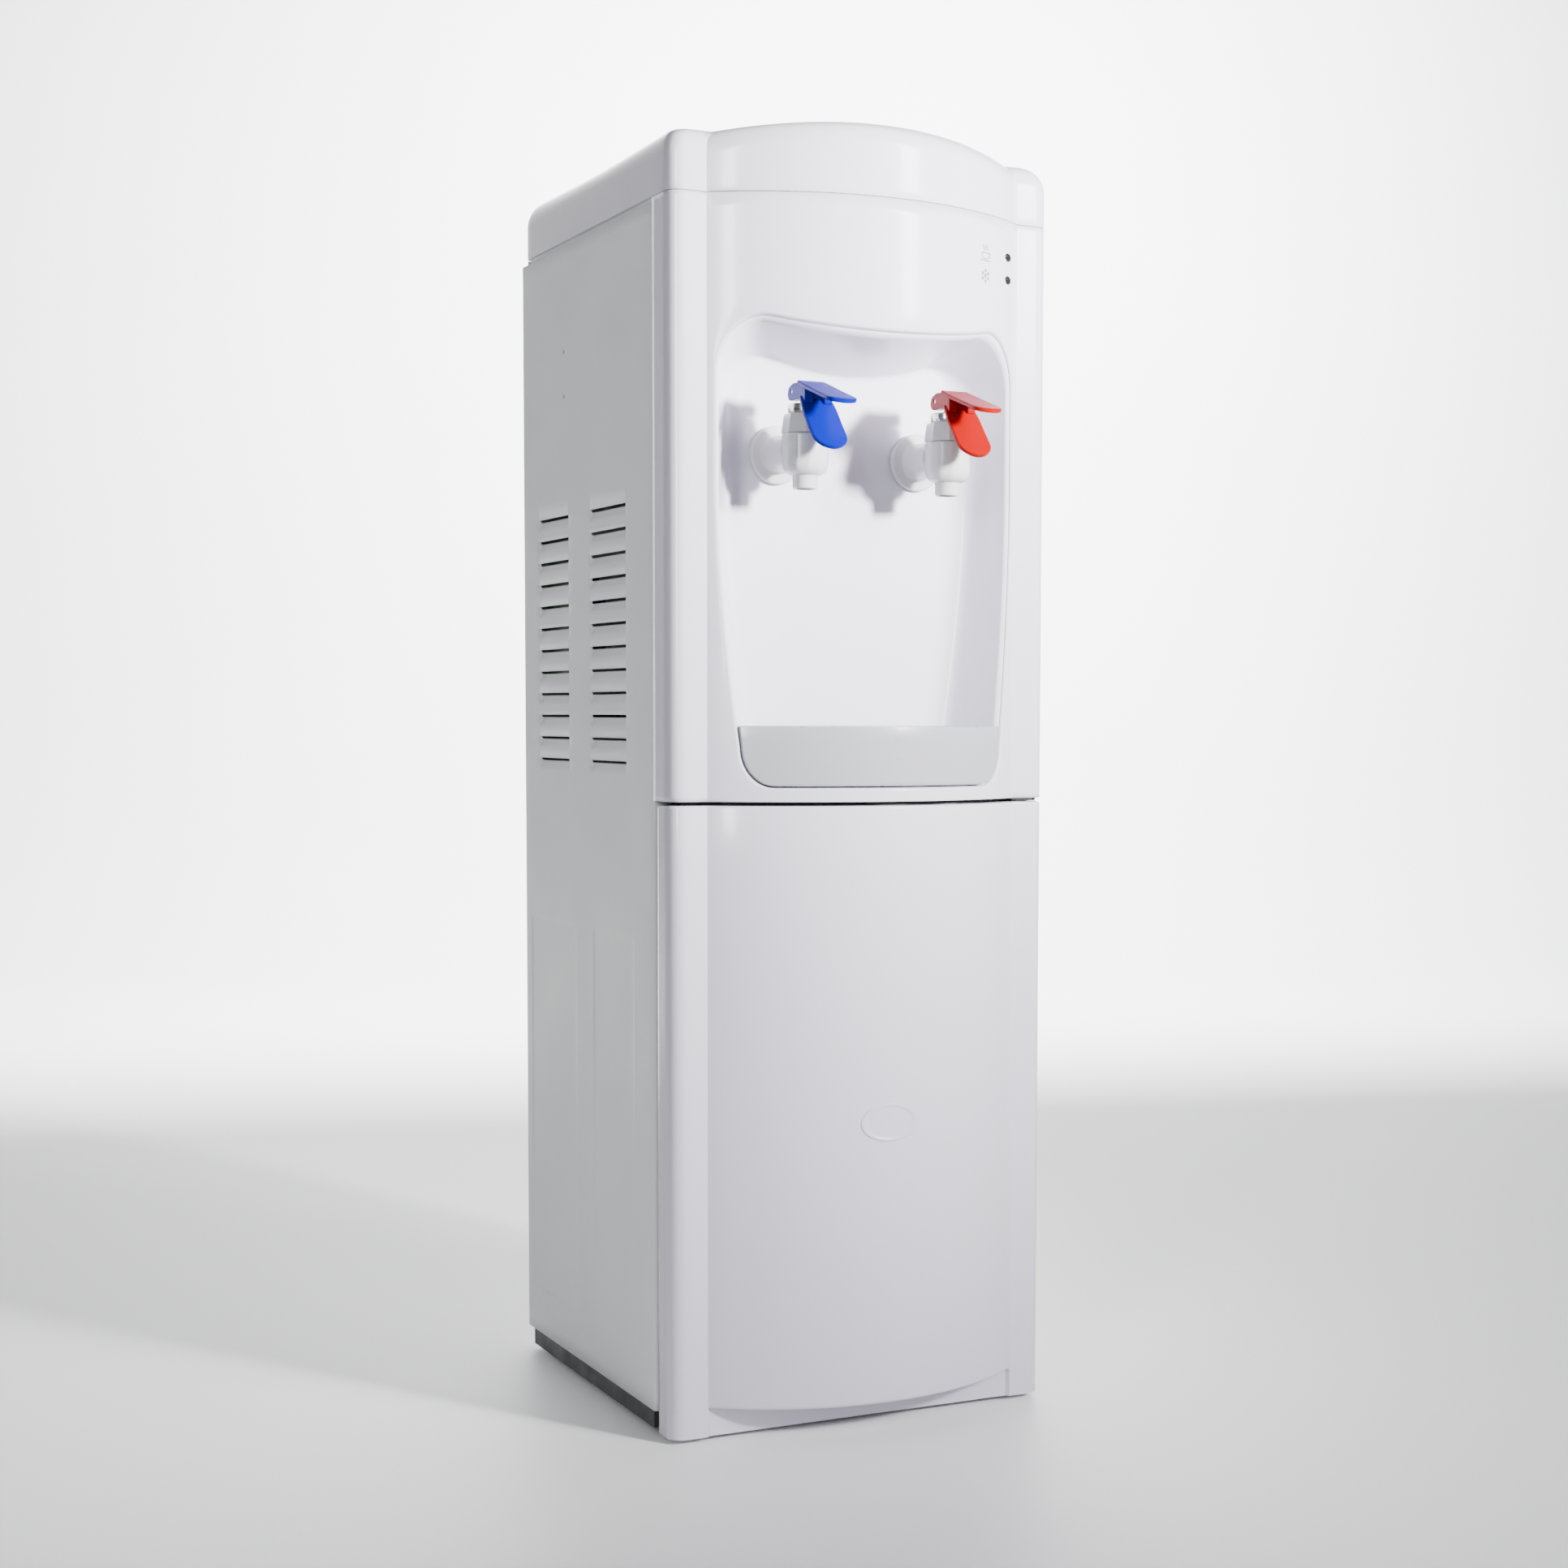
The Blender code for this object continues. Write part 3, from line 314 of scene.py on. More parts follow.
# Brushed or rolled metal: streaks drawn out along one axis in roughness and height.
def drawnMetal(name, colour, rough, stretch=(1, 1, 0.03), scale=700):
    made, tree, shader = newMaterial(name)
    base = np.array(colour)
    streak = noiseOn(tree, scale, 3.0, stretch)
    tree.links.new(tinted(tree, spread(tree, streak, 0, 1), base * 0.9, np.minimum(base * 1.06, 1)),
                   shader.inputs["Base Color"])
    tree.links.new(spread(tree, streak, rough * 0.7, rough * 1.35), shader.inputs["Roughness"])
    shader.inputs["Metallic"].default_value = 1.0
    bumped(tree, shader, streak, 0.12, 0.00005)
    return made


# Cut foam or ceramic: rounded cells of a Voronoi pattern pressed in, with painted shade that darkens each
# pressed-in pore.
def cellular(name, colour, rough, scale, depth=0.0006):
    made, tree, shader = newMaterial(name)
    base = np.array(colour)
    coord = tree.nodes.new("ShaderNodeTexCoord")
    cells = tree.nodes.new("ShaderNodeTexVoronoi")
    cells.inputs["Scale"].default_value = scale
    tree.links.new(coord.outputs["Object"], cells.inputs["Vector"])
    # Painted shade: the colour darkens towards each cell's middle, where the bump presses deepest.
    tree.links.new(tinted(tree, spread(tree, cells.outputs["Distance"], 0, 1, 0.0, 0.6), base * 0.78, base),
                   shader.inputs["Base Color"])
    shader.inputs["Roughness"].default_value = rough
    bumped(tree, shader, cells.outputs["Distance"], 0.5, depth)
    return made


finish = {
    # Shell and liner are the same white plastic. The liner's colour is painted lighter than the shell's as
    # painted light, so the lit alcove walls read brighter than the shaded front.
    "shell": moulded("shellPlastic", (0.555, 0.535, 0.615), 0.2, 0.35, 0.012),
    "liner": moulded("linerPlasticPaintedLighter", (0.665, 0.645, 0.735), 0.2, 0.3, 0.012),
    "tray": moulded("traySilver", (0.36, 0.365, 0.40), 0.3, 0.2, 0.02, 0.12, 1500, metal=0.15),
    "tap": moulded("tapPlastic", (0.50, 0.50, 0.52), 0.24, 0.2, 0.02),
    "blue": moulded("leverBlue", (0.0, 0.003, 0.22), 0.3, 0.0, 0.06, 0.1, shine=0.14),
    "red": moulded("leverRed", (0.25, 0.0, 0.0005), 0.3, 0.0, 0.06, 0.1, shine=0.14),
    "lamp": moulded("lampLens", (0.012, 0.012, 0.014), 0.08, 0.6, 0.0, 0.02),
    "print": moulded("printGrey", (0.14, 0.14, 0.155), 0.45, 0.0, 0.05),
    "dark": moulded("darkPlastic", (0.028, 0.028, 0.031), 0.48, 0.0, 0.12, 0.4, 700),
    "rubber": moulded("blackRubber", (0.018, 0.018, 0.019), 0.72, 0.0, 0.2, 0.5, 500),
    "silicone": moulded("siliconeTube", (0.72, 0.71, 0.66), 0.42, 0.1, 0.04, 0.1),
    "board": moulded("circuitBoard", (0.012, 0.16, 0.05), 0.34, 0.2, 0.25, 0.3, 380, 60),
    "paint": powderCoat("powderGrey", (0.66, 0.67, 0.668), 0.42),
    "steel": drawnMetal("rolledSteel", (0.60, 0.60, 0.59), 0.3),
    "wire": drawnMetal("springWire", (0.52, 0.52, 0.53), 0.25, (1, 1, 1), 300),
    "aluminium": drawnMetal("extrudedAluminium", (0.70, 0.71, 0.72), 0.4, (1, 1, 0.02), 500),
    "chrome": drawnMetal("turnedChrome", (0.62, 0.60, 0.575), 0.2, (1, 1, 12), 160),
    "foam": cellular("jacketFoam", (0.80, 0.76, 0.60), 0.95, 420),
    "ceramic": cellular("whiteCeramic", (0.80, 0.79, 0.75), 0.5, 900, 0.0002),
}
slotFinish = {
    "shell": "shell", "liner_white": "liner", "tray_silver": "tray", "tap_white": "tap",
    "dark_plastic": "dark", "lamp_lens": "lamp", "circuit_board": "board", "steel_paint": "paint",
    "stainless": "steel", "spring_steel": "wire", "chrome": "chrome", "aluminium": "aluminium",
    "foam": "foam", "ceramic": "ceramic", "silicone": "silicone", "rubber": "rubber",
    "lever_blue": "blue", "lever_red": "red",
}
for row in frame["record"]["subparts"]:
    mesh = frame["nodes"][row["node"]].data
    mesh.materials.clear()
    mesh.materials.append(finish[slotFinish[row["material_slot"]]])
print("materials made")


# The bowed middle as an arc through equal angles.
def bowPoints(inset, steps):
    radius = bowRadius - inset
    edge = math.acos((bowCentre - inset) / radius)
    a = np.linspace(-edge, edge, steps)
    return np.stack([radius * np.sin(a), at(bowCentre) - radius * np.cos(a)], -1)


# From the crease out along the right column, round its corner and back along its side.
def columnPoints(inset, rearDepth, steps=10, rows=6):
    radius = bowRadius - inset
    crease = math.sqrt(radius ** 2 - (bowCentre - inset) ** 2)
    turn = body["corner"] - inset
    a = np.linspace(0, math.pi / 2, steps)
    flatX = np.linspace(crease, half - body["corner"], 4)[:-1]
    flat = np.stack([flatX, np.full(3, at(inset))], -1)
    arc = np.stack([half - body["corner"] + turn * np.sin(a), at(body["corner"]) - turn * np.cos(a)], -1)
    backY = np.linspace(at(body["corner"]), at(rearDepth), rows)[1:]
    back = np.stack([np.full(rows - 1, half - inset), backY], -1)
    return np.concatenate([flat, arc, back])


# The whole front from the left rear end to the right rear end.
def planOutline(inset, rearDepth, steps=97):
    right = columnPoints(inset, rearDepth)
    left = right[::-1] * (-1, 1)
    return np.concatenate([left, bowPoints(inset, steps)[1:-1], right])


# Turns every face round when most of the area faces the point inside.
def faceOutwards(piece, inside):
    mesh = piece.data
    count = len(mesh.polygons)
    normal, centre, area = np.zeros(count * 3), np.zeros(count * 3), np.zeros(count)
    mesh.polygons.foreach_get("normal", normal)
    mesh.polygons.foreach_get("center", centre)
    mesh.polygons.foreach_get("area", area)
    out = (normal.reshape(-1, 3) * (centre.reshape(-1, 3) - np.asarray(inside))).sum(1)
    if (out * area).sum() < 0:
        mesh.flip_normals()
    return piece


alcove = {
    "halfWidth": 121 * mm, "floor": 481 * mm, "back": 35 * mm, "ceiling": 809.5 * mm, "footRadius": 29 * mm,
    "headRadius": 39 * mm, "headRadiusBack": 28 * mm, "dip": math.radians(17.5), "sideSlope": 0.6,
    "ceilingSlope": 0.3, "lip": 2.4 * mm, "cove": 15 * mm, "coveTop": 3.5 * mm, "wall": 2.3 * mm,
    "narrow": 20 * mm, "narrowFrom": 694 * mm, "narrowOver": 190 * mm, "narrowPower": 1.6,
    "slopeFrom": -5 * mm, "columnDepth": 34.3 * mm,
}


# Half width of the straight walls at a depth, before they draw in below.
def widestAt(depth):
    return alcove["halfWidth"] - alcove["sideSlope"] * (depth - alcove["slopeFrom"])


# How far a side wall has drawn in at a height: a power curve that starts where the narrowing starts.
def drawnIn(z):
    c = alcove
    return c["narrow"] * np.clip((c["narrowFrom"] - z) / c["narrowOver"], 0, None) ** c["narrowPower"]


# Right half of the opening in x and z at a depth, in three stretches that meet at the middle of the
# foot arc and of the head arc. The side is a power curve, the top a parabola that dips in the middle.
def alcoveHalf(depth, headRadius):
    c = alcove
    widest = widestAt(depth)
    low = c["floor"] + c["footRadius"]
    ceiling = c["ceiling"] - c["ceilingSlope"] * (depth + body["bow"])
    footX = widest - drawnIn(low) - c["footRadius"]
    a = np.radians(np.linspace(-90, 0, 17))
    foot = np.stack([footX + c["footRadius"] * np.cos(a), low + c["footRadius"] * np.sin(a)], -1)
    reach = widest - headRadius * (1 + math.sin(c["dip"]))
    rise = math.tan(c["dip"]) / (2 * reach)
    headZ = ceiling + rise * reach ** 2 - headRadius * math.cos(c["dip"])
    z = np.linspace(low, headZ, 42)[1:-1]
    side = np.stack([widest - drawnIn(z), z], -1)
    a = np.linspace(0, math.pi / 2 + c["dip"], 25)
    head = np.stack([widest - headRadius + headRadius * np.cos(a), headZ + headRadius * np.sin(a)], -1)
    x = np.linspace(reach, 0, 16)[1:]
    crest = np.stack([x, ceiling + rise * x ** 2], -1)
    sill = np.stack([np.linspace(0, footX, 10)[:-1], np.full(9, c["floor"])], -1)
    return [np.concatenate([sill, foot[:9]]), np.concatenate([foot[8:], side, head[:11]]),
            np.concatenate([head[10:], crest])]


# The right half joined to its mirror image, as one closed loop.
def wholeLoop(stretches):
    right = np.concatenate([stretches[0], stretches[1][1:], stretches[2][1:]])
    return np.concatenate([right, right[-2:0:-1] * (-1, 1)])


frontPlane, backPlane = -64 * mm, alcove["back"]
nearLoop = wholeLoop(alcoveHalf(frontPlane, alcove["headRadius"]))
farLoop = wholeLoop(alcoveHalf(backPlane, alcove["headRadiusBack"]))


# The alcove's edge where its straight walls cross the bow set in by under: a few rounds of
# finding the bow's depth at each x and moving along the wall to that depth.
def openingBelow(under):
    depth = np.full(len(nearLoop), -20 * mm)
    for _ in range(14):
        share = ((depth - frontPlane) / (backPlane - frontPlane))[:, None]
        loop = nearLoop * (1 - share) + farLoop * share
        depth = bowCentre - np.sqrt((bowRadius - under) ** 2 - loop[:, 0] ** 2)
    return loop, depth


# From arc length and height to space, set in from the bow.
def onBow(u, z, under):
    a = u / bowRadius
    return np.stack([(bowRadius - under) * np.sin(a), at(bowCentre) - (bowRadius - under) * np.cos(a), z], -1)


# Unit normals of a closed loop: the run from each point before to each point after, turned a quarter.
def loopNormals(loop):
    tangent = np.roll(loop, -1, 0) - np.roll(loop, 1, 0)
    normal = np.stack([tangent[:, 1], -tangent[:, 0]], -1)
    return normal / np.linalg.norm(normal, axis=1, keepdims=True)


# Share of the path's length reached at each of its points, from 0 to 1.
def pathShare(points):
    steps = np.linalg.norm(np.diff(points, axis=0), axis=1)
    return np.concatenate([[0], np.cumsum(steps)]) / steps.sum()


# The upper front and its alcove. Rings with one and the same loop of points run from the back wall over
# a quadratic cove, along straight lines to the lip, round it by a quarter circle and out to the seams.
def makeUpperFront():
    c = alcove
    low, high = panelLow.z, panelHigh.z
    reach = bowRadius * math.asin(body["bowHalf"] / bowRadius)
    stretches = alcoveHalf(-20 * mm, c["headRadius"])
    t = [pathShare(part) for part in stretches]
    heights = low + (high - low) * t[1]
    border = wholeLoop([np.stack([reach * t[0], np.full(len(t[0]), low)], -1),
                        np.stack([np.full(len(t[1]), reach), heights], -1),
                        np.stack([reach * (1 - t[2]), np.full(len(t[2]), high)], -1)])
    # The back wall, its cove and the straight walls.
    edge, edgeDepth = openingBelow(c["lip"])
    edge3 = np.stack([edge[:, 0], at(edgeDepth), edge[:, 1]], -1)
    wall = farLoop
    inward = -loopNormals(wall)
    cove = c["coveTop"] + (c["cove"] - c["coveTop"]) * inward[:, :1] ** 2
    flat = np.stack([wall[:, 0], np.full(len(wall), at(backPlane)), wall[:, 1]], -1)
    inward3 = np.stack([inward[:, 0], np.zeros(len(wall)), inward[:, 1]], -1)
    along = edge3 - flat
    along /= np.linalg.norm(along, axis=1, keepdims=True)
    middle = np.array([0, at(backPlane), (c["floor"] + c["ceiling"]) / 2])
    inner = flat + inward3 * cove
    rings = [middle + (inner - middle) * (share, 1, share) for share in (0.5, 0.94)]
    for s in np.linspace(0, 1, 9):
        rings.append((1 - s) ** 2 * inner + 2 * s * (1 - s) * flat + s ** 2 * (flat + along * cove))
    for s in np.linspace(0, 1, 7)[1:]:
        rings.append((flat + along * cove) * (1 - s) + edge3 * s)
    wallEnd = len(rings)
    # The rolled lip: a quarter circle from the wall to the bow.
    base, _ = openingBelow(0.0)
    u0 = np.stack([bowRadius * np.arcsin(base[:, 0] / bowRadius), base[:, 1]], -1)
    normal = loopNormals(u0)
    for a in np.linspace(0, math.pi / 2, 7)[1:]:
        grown = u0 + normal * c["lip"] * (1 - math.cos(a))
        rings.append(onBow(grown[:, 0], grown[:, 1], c["lip"] * (1 - math.sin(a))))
    # Out over the bow to the creases, the seam above and the seam below.
    grown = u0 + normal * c["lip"]
    for s in np.linspace(0, 1, 9)[1:]:
        spot = grown * (1 - s) + border * s
        rings.append(onBow(spot[:, 0], spot[:, 1], 0.0))
    liner = np.array(rings[:wallEnd])
    faces = gridFaces(len(liner), liner.shape[1], closeColumns=True).tolist()
    faces.append(np.arange(liner.shape[1]).tolist())
    niche = addMesh("alcoveWall", liner.reshape(-1, 3), faces, finish["liner"], 40)
    if niche.data.polygons[len(niche.data.polygons) - 1].normal.y > 0:
        niche.data.flip_normals()
    thicken(niche, c["wall"])
    place(niche, "cabinet", "liner_white", "alcove_liner")
    # The bow with its lip, then a strip for each column.
    bow = np.array(rings[wallEnd - 1:])
    points = [bow.reshape(-1, 3)]
    faces = gridFaces(len(bow), bow.shape[1], closeColumns=True).tolist()
    count = len(points[0])
    plan = columnPoints(0.0, c["columnDepth"])
    for sign in (1, -1):
        strip = raised(plan * (sign, 1), heights)
        points.append(strip.reshape(-1, 3))
        faces += gridFaces(*strip.shape[:2], first=count).tolist()
        count += len(points[-1])
    piece = addMesh("upperFront", np.concatenate(points), faces, finish["shell"], 30)
    faceOutwards(piece, (0, at(180 * mm), 0.69))
    thicken(piece, c["wall"])
    place(piece, "cabinet", "shell", "front_upper_panel")


makeUpperFront()
print("upper front made")


cover = {"shoulder": 20 * mm, "top": 950 * mm, "crown": coverHigh.z - 950 * mm, "rearTurn": 18 * mm,
         "wellDepth": 170 * mm, "wellRadius": 122 * mm, "seamRoll": 0.9 * mm, "lipInset": 2.6 * mm,
         "lipDrop": 4 * mm, "sideStart": 45 * mm, "wall": 2.2 * mm}


# Plan outline of the cover, evenly dense, starting at the left side and running over the front.
def coverOutline():
    turn = cover["rearTurn"]
    a = np.linspace(0, math.pi / 2, 10)
    corner = np.stack([half - turn + turn * np.cos(a), rear - turn + turn * np.sin(a)], -1)
    start = cover["sideStart"]
    side = np.stack([np.full(20, half), np.linspace(at(start), rear - turn, 22)[1:-1]], -1)
    back = np.stack([np.linspace(half - turn, turn - half, 28)[1:-1], np.full(26, rear)], -1)
    right = np.concatenate([side, corner])
    return np.concatenate([planOutline(0.0, start), right, back, right[::-1] * (-1, 1)])


# The cover. Its outline rises straight from the seam and turns in by a quarter circle at the shoulder. A
# parabola across the bow lifts the crown, which dies away by a smooth step towards the round well.
def makeCover():
    c = cover
    outline = coverOutline()
    centre = np.array([0, at(c["wellDepth"])])
    out = outline - centre
    length = np.linalg.norm(out, axis=1, keepdims=True)
    arch = np.clip(1 - (outline[:, 0] / body["bowHalf"]) ** 2, 0, None)
    crown = np.where(outline[:, 1] < at(0) + 1e-6, arch, 0)

    def ring(inset, height, rise):
        spot = centre + out * (1 - inset / length)
        return np.column_stack([spot, height + rise * crown])

    def wellRing(radius, height):
        spot = centre + out / length * radius
        return np.column_stack([spot, np.full(len(spot), height)])

    seam, springLine = coverLow.z, c["top"] - c["shoulder"]
    roll = c["seamRoll"]
    rings = [ring(c["lipInset"], seam - c["lipDrop"], 0), ring(c["lipInset"], seam, 0), ring(roll, seam, 0),
             ring(roll * 0.3, seam + roll * 0.3, 0), ring(0, seam + roll, 0)]
    for z, s in zip(np.linspace(seam + 6 * mm, springLine, 5), np.linspace(0, 1, 5)):
        rings.append(ring(0, z, c["crown"] * s))
    for a in np.linspace(0, math.pi / 2, 13)[1:]:
        height = springLine + c["shoulder"] * math.sin(a)
        rings.append(ring(c["shoulder"] * (1 - math.cos(a)), height, c["crown"]))
    # Over the top the crown dies away smoothly towards the well's rim.
    rim = wellRing(c["wellRadius"] + 3 * mm, c["top"])
    for s in np.linspace(0, 1, 7)[1:]:
        fade = 1 - s * s * (3 - 2 * s)
        spot = ring(c["shoulder"], c["top"], 0) * (1 - s) + rim * s
        spot[:, 2] = c["top"] + c["crown"] * crown * fade
        rings.append(spot)
    well = softened([(c["wellRadius"] + 3 * mm, c["top"]), (c["wellRadius"] - 3 * mm, c["top"] - 0.5 * mm),
                     (84 * mm, 914 * mm), (80 * mm, 912 * mm), (62 * mm, 912 * mm)], 3 * mm, 5)
    rings += [wellRing(r, z) for r, z in well[1:]]
    rings = np.array(rings)
    faces = gridFaces(len(rings), rings.shape[1], closeColumns=True)
    piece = addMesh("topCover", rings.reshape(-1, 3), faces, finish["shell"], 34)
    faceOutwards(piece, (0, at(c["wellDepth"]), 0.80))
    thicken(piece, c["wall"])
    place(piece, "cabinet", "shell", "top_cover")


makeCover()
print("top cover made")


# The lower door: one skin over its bowed front, rolled along the top, tucked under the bow at the foot
# and dropping behind it as a flat kick plate, with both ends closed.
door = {"low": doorLow.z, "high": doorHigh.z, "kickTop": 25 * mm, "kickDepth": 2.5 * mm, "return": 26.5 * mm,
        "topRoll": 2.2 * mm, "footRoll": 3 * mm, "wall": 2.6 * mm, "pin": (147 * mm, 20 * mm),
        "bosses": ((450 * mm, 465 * mm), (7 * mm, 19 * mm)), "bore": 2.85 * mm, "bossRadius": 5.9 * mm}


# Rings of the plan outline from the rolled top down to the foot, where only the bowed middle steps back.
def makeDoor():
    c = door
    plain = planOutline(0.0, c["return"])
    count = len(plain)
    bowed = (np.abs(plain[:, 0]) < body["bowHalf"] - 1e-5) & (plain[:, 1] < at(0) - 1e-6)

    def level(inset, z):
        return np.column_stack([planOutline(inset, c["return"]), np.full(count, z)])

    def mixed(inset, z, depth=None):
        rows = level(0.0, z)
        inner = level(inset, z)
        if depth is not None:
            inner[:, 1] = at(depth)
        return np.where(bowed[:, None], inner, rows)

    rings = []
    for a in np.linspace(math.pi / 2, 0, 6):
        rings.append(level(c["topRoll"] * (1 - math.cos(a)), c["high"] - c["topRoll"] * (1 - math.sin(a))))
    for z in np.linspace(c["high"] - c["topRoll"], c["kickTop"] + c["footRoll"], 10)[1:]:
        rings.append(level(0.0, z))
    for a in np.linspace(0, math.pi / 2, 6)[1:]:
        height = c["kickTop"] + c["footRoll"] * (1 - math.sin(a))
        rings.append(mixed(c["footRoll"] * (1 - math.cos(a)), height))
    rings += [mixed(0.0, c["kickTop"], c["kickDepth"]), mixed(0.0, c["low"] + 1 * mm, c["kickDepth"]),
              mixed(0.0, c["low"], c["kickDepth"])]
    rings = np.array(rings)
    faces = gridFaces(len(rings), count).tolist()
    faces += [np.arange(count).tolist(), ((len(rings) - 1) * count + np.arange(count)).tolist()]
    skin = addMesh("doorShell", rings.reshape(-1, 3), faces, finish["shell"], 32)
    faceOutwards(skin, (0, at(10 * mm), 0.24))
    thicken(skin, c["wall"])
    place(skin, "door", "shell", "lower_door")
    # The two hinge bosses, each a short tube round its pin with its outer edges bevelled.
    bosses, bevel, outer = [], 0.3 * mm, c["bossRadius"]
    for low, high in c["bosses"]:
        wall = [(c["bore"], low), (outer - bevel, low), (outer, low + bevel), (outer, high - bevel),
                (outer - bevel, high), (c["bore"], high)]
        bosses.append(turnedRings(wall, (c["pin"][0], at(c["pin"][1]), 0), "Z", 32))
    place(addLoops("doorHingeBosses", bosses, finish["shell"], 32), "door", "shell")


makeDoor()
print("door made")


# The side panels: sheet steel with two columns of half louvres pressed out of it and two shallow
# stamped fields below, the sheet folded in along the front and the back.
side = {
    "low": sideLow.z, "high": sideHigh.z, "front": 34.6 * mm, "fold": 14 * mm, "rearFold": 12 * mm,
    "sheet": 1.1 * mm, "edgeTurn": 2.5 * mm,
    "columns": ((89.5 * mm, 169 * mm), (217 * mm, 290 * mm)), "firstSlit": 498 * mm, "pitch": 17.5 * mm,
    "rows": 12, "slit": 1.7 * mm, "slope": 8.5 * mm, "press": 2.8 * mm,
    "fields": ((75 * mm, 166 * mm), (203 * mm, 315 * mm)), "fieldLow": 54 * mm, "fieldHigh": 369 * mm,
    "fieldEdge": 4 * mm, "stamp": 0.55 * mm,
    "screws": ((228 * mm, 819 * mm), (228 * mm, 784 * mm)), "dimple": 1.0 * mm,
}


# A smooth step from 0 to 1 over the width that follows the edge.
def easeIn(value, edge, width):
    t = np.clip((value - edge) / width, 0, 1)
    return t * t * (3 - 2 * t)


# How far a side panel's sheet is pressed in at each depth and height. A louvre falls straight in at its slit
# and eases back out below it; a field is lower by a step all round.
def pressedIn(depth, z):
    c = side
    total = np.zeros(np.broadcast(depth, z).shape)
    for first, last in c["columns"]:
        across = easeIn(depth, first, 3 * mm) * (1 - easeIn(depth, last - 3 * mm, 3 * mm))
        for row in range(c["rows"]):
            top = c["firstSlit"] + c["pitch"] * row
            below = top - z
            dip = np.where((below >= 0) & (below <= c["slit"] + c["slope"]),
                           1 - easeIn(below, c["slit"], c["slope"]), 0.0)
            total = np.maximum(total, c["press"] * across * dip)
    edge = c["fieldEdge"]
    for first, last in c["fields"]:
        inside = (easeIn(depth, first, edge) * (1 - easeIn(depth, last - edge, edge))
                  * easeIn(z, c["fieldLow"], edge) * (1 - easeIn(z, c["fieldHigh"] - edge, edge)))
        total = total + c["stamp"] * inside
    for spot, level in c["screws"]:
        away = np.hypot(depth - spot, z - level)
        total = total + c["dimple"] * (1 - easeIn(away, 1.9 * mm, 0.9 * mm))
    return total


# Sorted positions along an edge: an even run with extra ones packed round each break.
def stations(low, high, step, extra):
    base = np.arange(low, high, step)
    values = np.unique(np.round(np.concatenate([base, extra, [low, high]]), 6))
    values = values[(values >= low) & (values <= high)]
    keep = np.concatenate([[True], np.diff(values) > 0.15 * mm])
    return values[keep]


# One side panel: the pressed sheet as a grid over depth and height, between its two folded edges.
def makeSidePanel(name, sign, node):
    c = side
    turn = c["edgeTurn"]
    eased, dimpled = np.linspace(0, 4, 6) * mm, np.linspace(-3.2, 3.2, 15) * mm
    columns = []
    for first, last in (*c["columns"], *c["fields"]):
        columns += [first + eased, last - eased]
    columns += [spot + dimpled for spot, _ in c["screws"]]
    depth = stations(c["front"] + turn, rear - at(0) - turn, 9 * mm, np.concatenate(columns))
    rows = [c["fieldLow"] + eased, c["fieldHigh"] - eased]
    rows += [level + dimpled for _, level in c["screws"]]
    for row in range(c["rows"]):
        top = c["firstSlit"] + c["pitch"] * row
        rows += [top + np.array([-0.0, 0.25]) * mm, top - c["slit"] - np.linspace(0, 1, 9) * c["slope"]]
    z = stations(c["low"], c["high"], 14 * mm, np.concatenate(rows))
    grid = pressedIn(depth[None, :], z[:, None])
    face = raised(np.column_stack([np.zeros(len(depth)), at(depth)]), z)
    face[..., 0] = half - grid
    a = np.linspace(0, math.pi / 2, 5)[1:]
    turnX = half - turn + turn * np.cos(a)
    frontTurn = np.stack([turnX, at(c["front"]) + turn - turn * np.sin(a)], -1)
    frontFold = np.concatenate([frontTurn, [[half - c["fold"], at(c["front"])]]])[::-1]
    rearTurn = np.stack([turnX, rear - turn + turn * np.sin(a)], -1)
    rearFold = np.concatenate([rearTurn, [[half - c["rearFold"], rear]]])
    sheet = np.concatenate([raised(frontFold, z), face, raised(rearFold, z)], 1)
    sheet[..., 0] *= sign
    faces = gridFaces(*sheet.shape[:2])
    # The slit itself is left open: the faces straight above each louvre's deep edge are dropped.
    middle = sheet.reshape(-1, 3)[faces].mean(1)
    spot, level = middle[:, 1] - at(0), middle[:, 2]
    slots = np.zeros(len(faces), bool)
    for first, last in c["columns"]:
        for row in range(c["rows"]):
            top = c["firstSlit"] + c["pitch"] * row
            slots |= ((spot > first + 1.5 * mm) & (spot < last - 1.5 * mm) & (level > top - c["slit"])
                      & (level < top + 0.2 * mm))
    piece = addMesh(name, sheet.reshape(-1, 3), faces[~slots], finish["paint"], 38)
    faceOutwards(piece, (0, at(180 * mm), 0.45))
    thicken(piece, c["sheet"])
    place(piece, "cabinet", "steel_paint", node)


makeSidePanel("leftSidePanel", -1, "left_side_panel")
makeSidePanel("rightSidePanel", 1, "right_side_panel")
print("side panels made")


# The taps. The walls are outlines turned about the spout's axis, and the bonnet is pulled towards an octagon.
tap = {"x": 58 * mm, "depth": -18.4 * mm, "neckZ": 725 * mm, "pinZ": 765 * mm}


